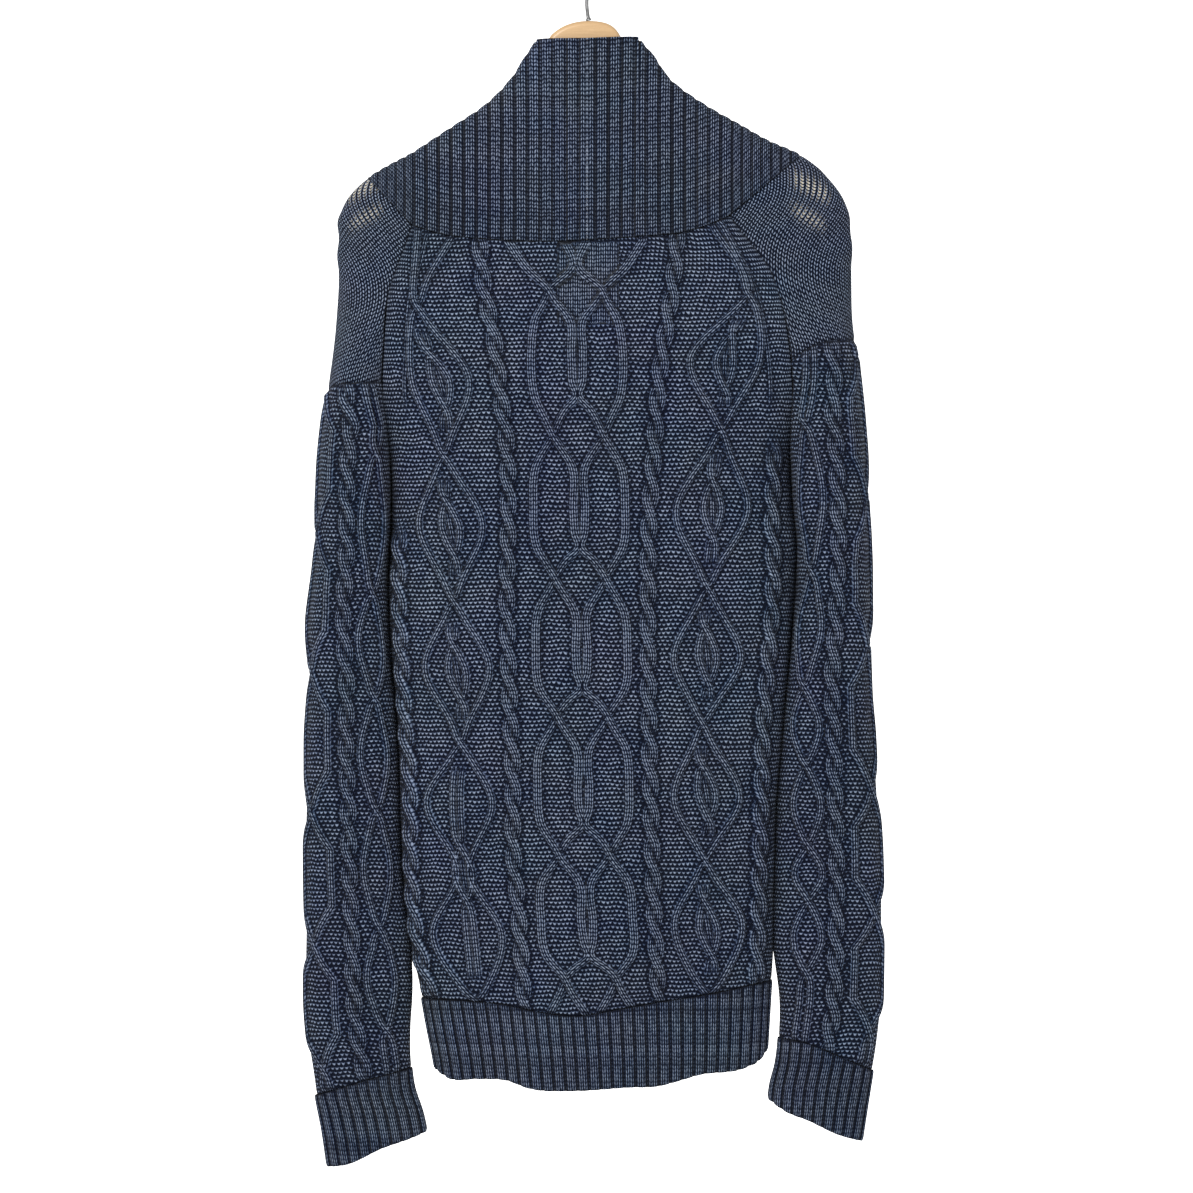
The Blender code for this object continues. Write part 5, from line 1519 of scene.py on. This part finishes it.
class CardiganKnit(bpy.types.PropertyGroup):
    """How thick the cloth is and how far its stitches stand out, in millimetres."""
    wall: number_property(
        "Wall", "Thickness of the knitted cloth between its cables, in mm", 2.2, 1.0, 4.0)
    cable_height: number_property(
        "Cable height", "How far the cables stand out of the ground, in mm", 2.9, 0.0, 5.0)
    rib_height: number_property(
        "Rib height", "How far the ribs stand out of their furrows, in mm", 1.9, 0.0, 4.0)
    unevenness: number_property(
        "Unevenness", "Size of the cloth's gentle waves, in mm", 0.5, 0.0, 1.5)


class CardiganColour(bpy.types.PropertyGroup):
    """Colours of the yarn and the wood, and how strongly the stitches' painted shade and highlight
    are drawn.
    """
    # The yarn runs from painted shade in the gaps (furrow, deep) through its own colour (middle) to
    # a painted highlight on stitch tops (light).
    furrow: shade_property("Furrow", "Yarn in the gaps between stitches", (0.0015, 0.0035, 0.012))
    deep: shade_property("Deep", "Yarn low in a stitch", (0.011, 0.018, 0.042))
    middle: shade_property("Middle", "Yarn on a stitch", (0.080, 0.110, 0.178))
    light: shade_property("Light", "Yarn on the tops of stitches", (0.265, 0.320, 0.430))
    wood_dark: shade_property("Dark grain", "Darkest grain of the hanger", (0.36, 0.22, 0.11))
    wood: shade_property("Wood", "The hanger's main colour", (0.62, 0.40, 0.20))
    wood_light: shade_property("Light grain", "Lightest grain of the hanger", (0.85, 0.60, 0.32))
    tone: number_property(
        "Tone", "How light the yarn is before its stitches are drawn", -0.32, -1.0, 1.0)
    # contrast sets the strength of each stitch's painted highlight and shade.
    contrast: number_property(
        "Contrast", "How much lighter a stitch's top is than its edge", 1.32, 0.0, 2.0)


class CardiganStage(bpy.types.PropertyGroup):
    """Light around the piece."""
    room_light: number_property(
        "Room light", "Strength of the even light from all sides", 0.50, 0.0, 3.0)


class CARDIGAN_OT_back(bpy.types.Operator):
    """Knit the cabled back"""
    bl_idname = "cardigan.back"
    bl_label = "Back"

    def execute(self, context):
        knit_back(context.scene.cardigan_knit, yarn(context, "cabled_wool"))
        return {"FINISHED"}


class CARDIGAN_OT_fronts(bpy.types.Operator):
    """Knit the two cabled fronts"""
    bl_idname = "cardigan.fronts"
    bl_label = "Fronts"

    def execute(self, context):
        return knit_both(context, knit_front, "cabled_wool")


class CARDIGAN_OT_hems(bpy.types.Operator):
    """Knit the ribbed hem of the back and of the fronts"""
    bl_idname = "cardigan.hems"
    bl_label = "Hems"

    def execute(self, context):
        knit = context.scene.cardigan_knit
        ribs = yarn(context, "ribbed_wool")
        knit_hem("hem_back", BACK, (body_edge_low, body_edge_high), knit, ribs)
        for side in SIDES:
            knit_hem("hem_front_" + side_name(side), FRONT, front_edges(side), knit, ribs)
        return {"FINISHED"}


class CARDIGAN_OT_bands(bpy.types.Operator):
    """Knit the plain ribbed bands down the front edges"""
    bl_idname = "cardigan.bands"
    bl_label = "Front bands"

    def execute(self, context):
        return knit_both(context, knit_band, "ribbed_wool")


class CARDIGAN_OT_collar(bpy.types.Operator):
    """Knit the two halves of the shawl collar"""
    bl_idname = "cardigan.collar"
    bl_label = "Shawl collar"

    def execute(self, context):
        return knit_both(context, knit_collar, "collar_wool")


class CARDIGAN_OT_caps(bpy.types.Operator):
    """Knit the plain caps at the tops of the sleeves"""
    bl_idname = "cardigan.caps"
    bl_label = "Sleeve caps"

    def execute(self, context):
        return knit_both(context, knit_cap, "plain_wool")


class CARDIGAN_OT_sleeves(bpy.types.Operator):
    """Knit the cabled sleeves"""
    bl_idname = "cardigan.sleeves"
    bl_label = "Sleeves"

    def execute(self, context):
        return knit_both(context, knit_sleeve, "cabled_wool")


class CARDIGAN_OT_cuffs(bpy.types.Operator):
    """Knit the ribbed cuffs"""
    bl_idname = "cardigan.cuffs"
    bl_label = "Cuffs"

    def execute(self, context):
        return knit_both(context, knit_cuff, "ribbed_wool")


class CARDIGAN_OT_hanger(bpy.types.Operator):
    """Make the wooden hanger and its steel hook"""
    bl_idname = "cardigan.hanger"
    bl_label = "Hanger"

    def execute(self, context):
        make_hanger(beech(context))
        make_hook(steel_material())
        return {"FINISHED"}


class CARDIGAN_OT_stage(bpy.types.Operator):
    """Set the floor, the light and the camera"""
    bl_idname = "cardigan.stage"
    bl_label = "Stage"

    def execute(self, context):
        make_sweep(floor_material())
        light_and_camera(context.scene.cardigan_stage)
        return {"FINISHED"}


STEPS = (CARDIGAN_OT_back, CARDIGAN_OT_fronts, CARDIGAN_OT_hems, CARDIGAN_OT_bands,
         CARDIGAN_OT_collar, CARDIGAN_OT_caps, CARDIGAN_OT_sleeves, CARDIGAN_OT_cuffs,
         CARDIGAN_OT_hanger, CARDIGAN_OT_stage)


class CARDIGAN_PT_panel(bpy.types.Panel):
    """Lists the settings and the steps"""
    bl_idname = "CARDIGAN_PT_panel"
    bl_label = "Cable Knit Cardigan"
    bl_space_type = "VIEW_3D"
    bl_region_type = "UI"
    bl_category = "Cardigan"

    def draw(self, context):
        for group in SETTINGS:
            box = self.layout.box()
            for field in SETTINGS[group].__annotations__:
                box.prop(getattr(context.scene, group), field)
        for step in STEPS:
            self.layout.operator(step.bl_idname)


SETTINGS = {"cardigan_knit": CardiganKnit, "cardigan_colour": CardiganColour,
            "cardigan_stage": CardiganStage}


def register():
    for group, kind in SETTINGS.items():
        bpy.utils.register_class(kind)
        setattr(bpy.types.Scene, group, bpy.props.PointerProperty(type=kind))
    for step in STEPS:
        bpy.utils.register_class(step)
    bpy.utils.register_class(CARDIGAN_PT_panel)


def unregister():
    bpy.utils.unregister_class(CARDIGAN_PT_panel)
    for step in reversed(STEPS):
        bpy.utils.unregister_class(step)
    for group, kind in SETTINGS.items():
        delattr(bpy.types.Scene, group)
        bpy.utils.unregister_class(kind)


def main():
    """Registers the add-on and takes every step."""
    register()
    for step in STEPS:
        category, name = step.bl_idname.split(".")
        done = getattr(getattr(bpy.ops, category), name)()
        if done != {"FINISHED"}:
            raise RuntimeError(step.bl_label + " did not finish")


if __name__ == "__main__":
    main()
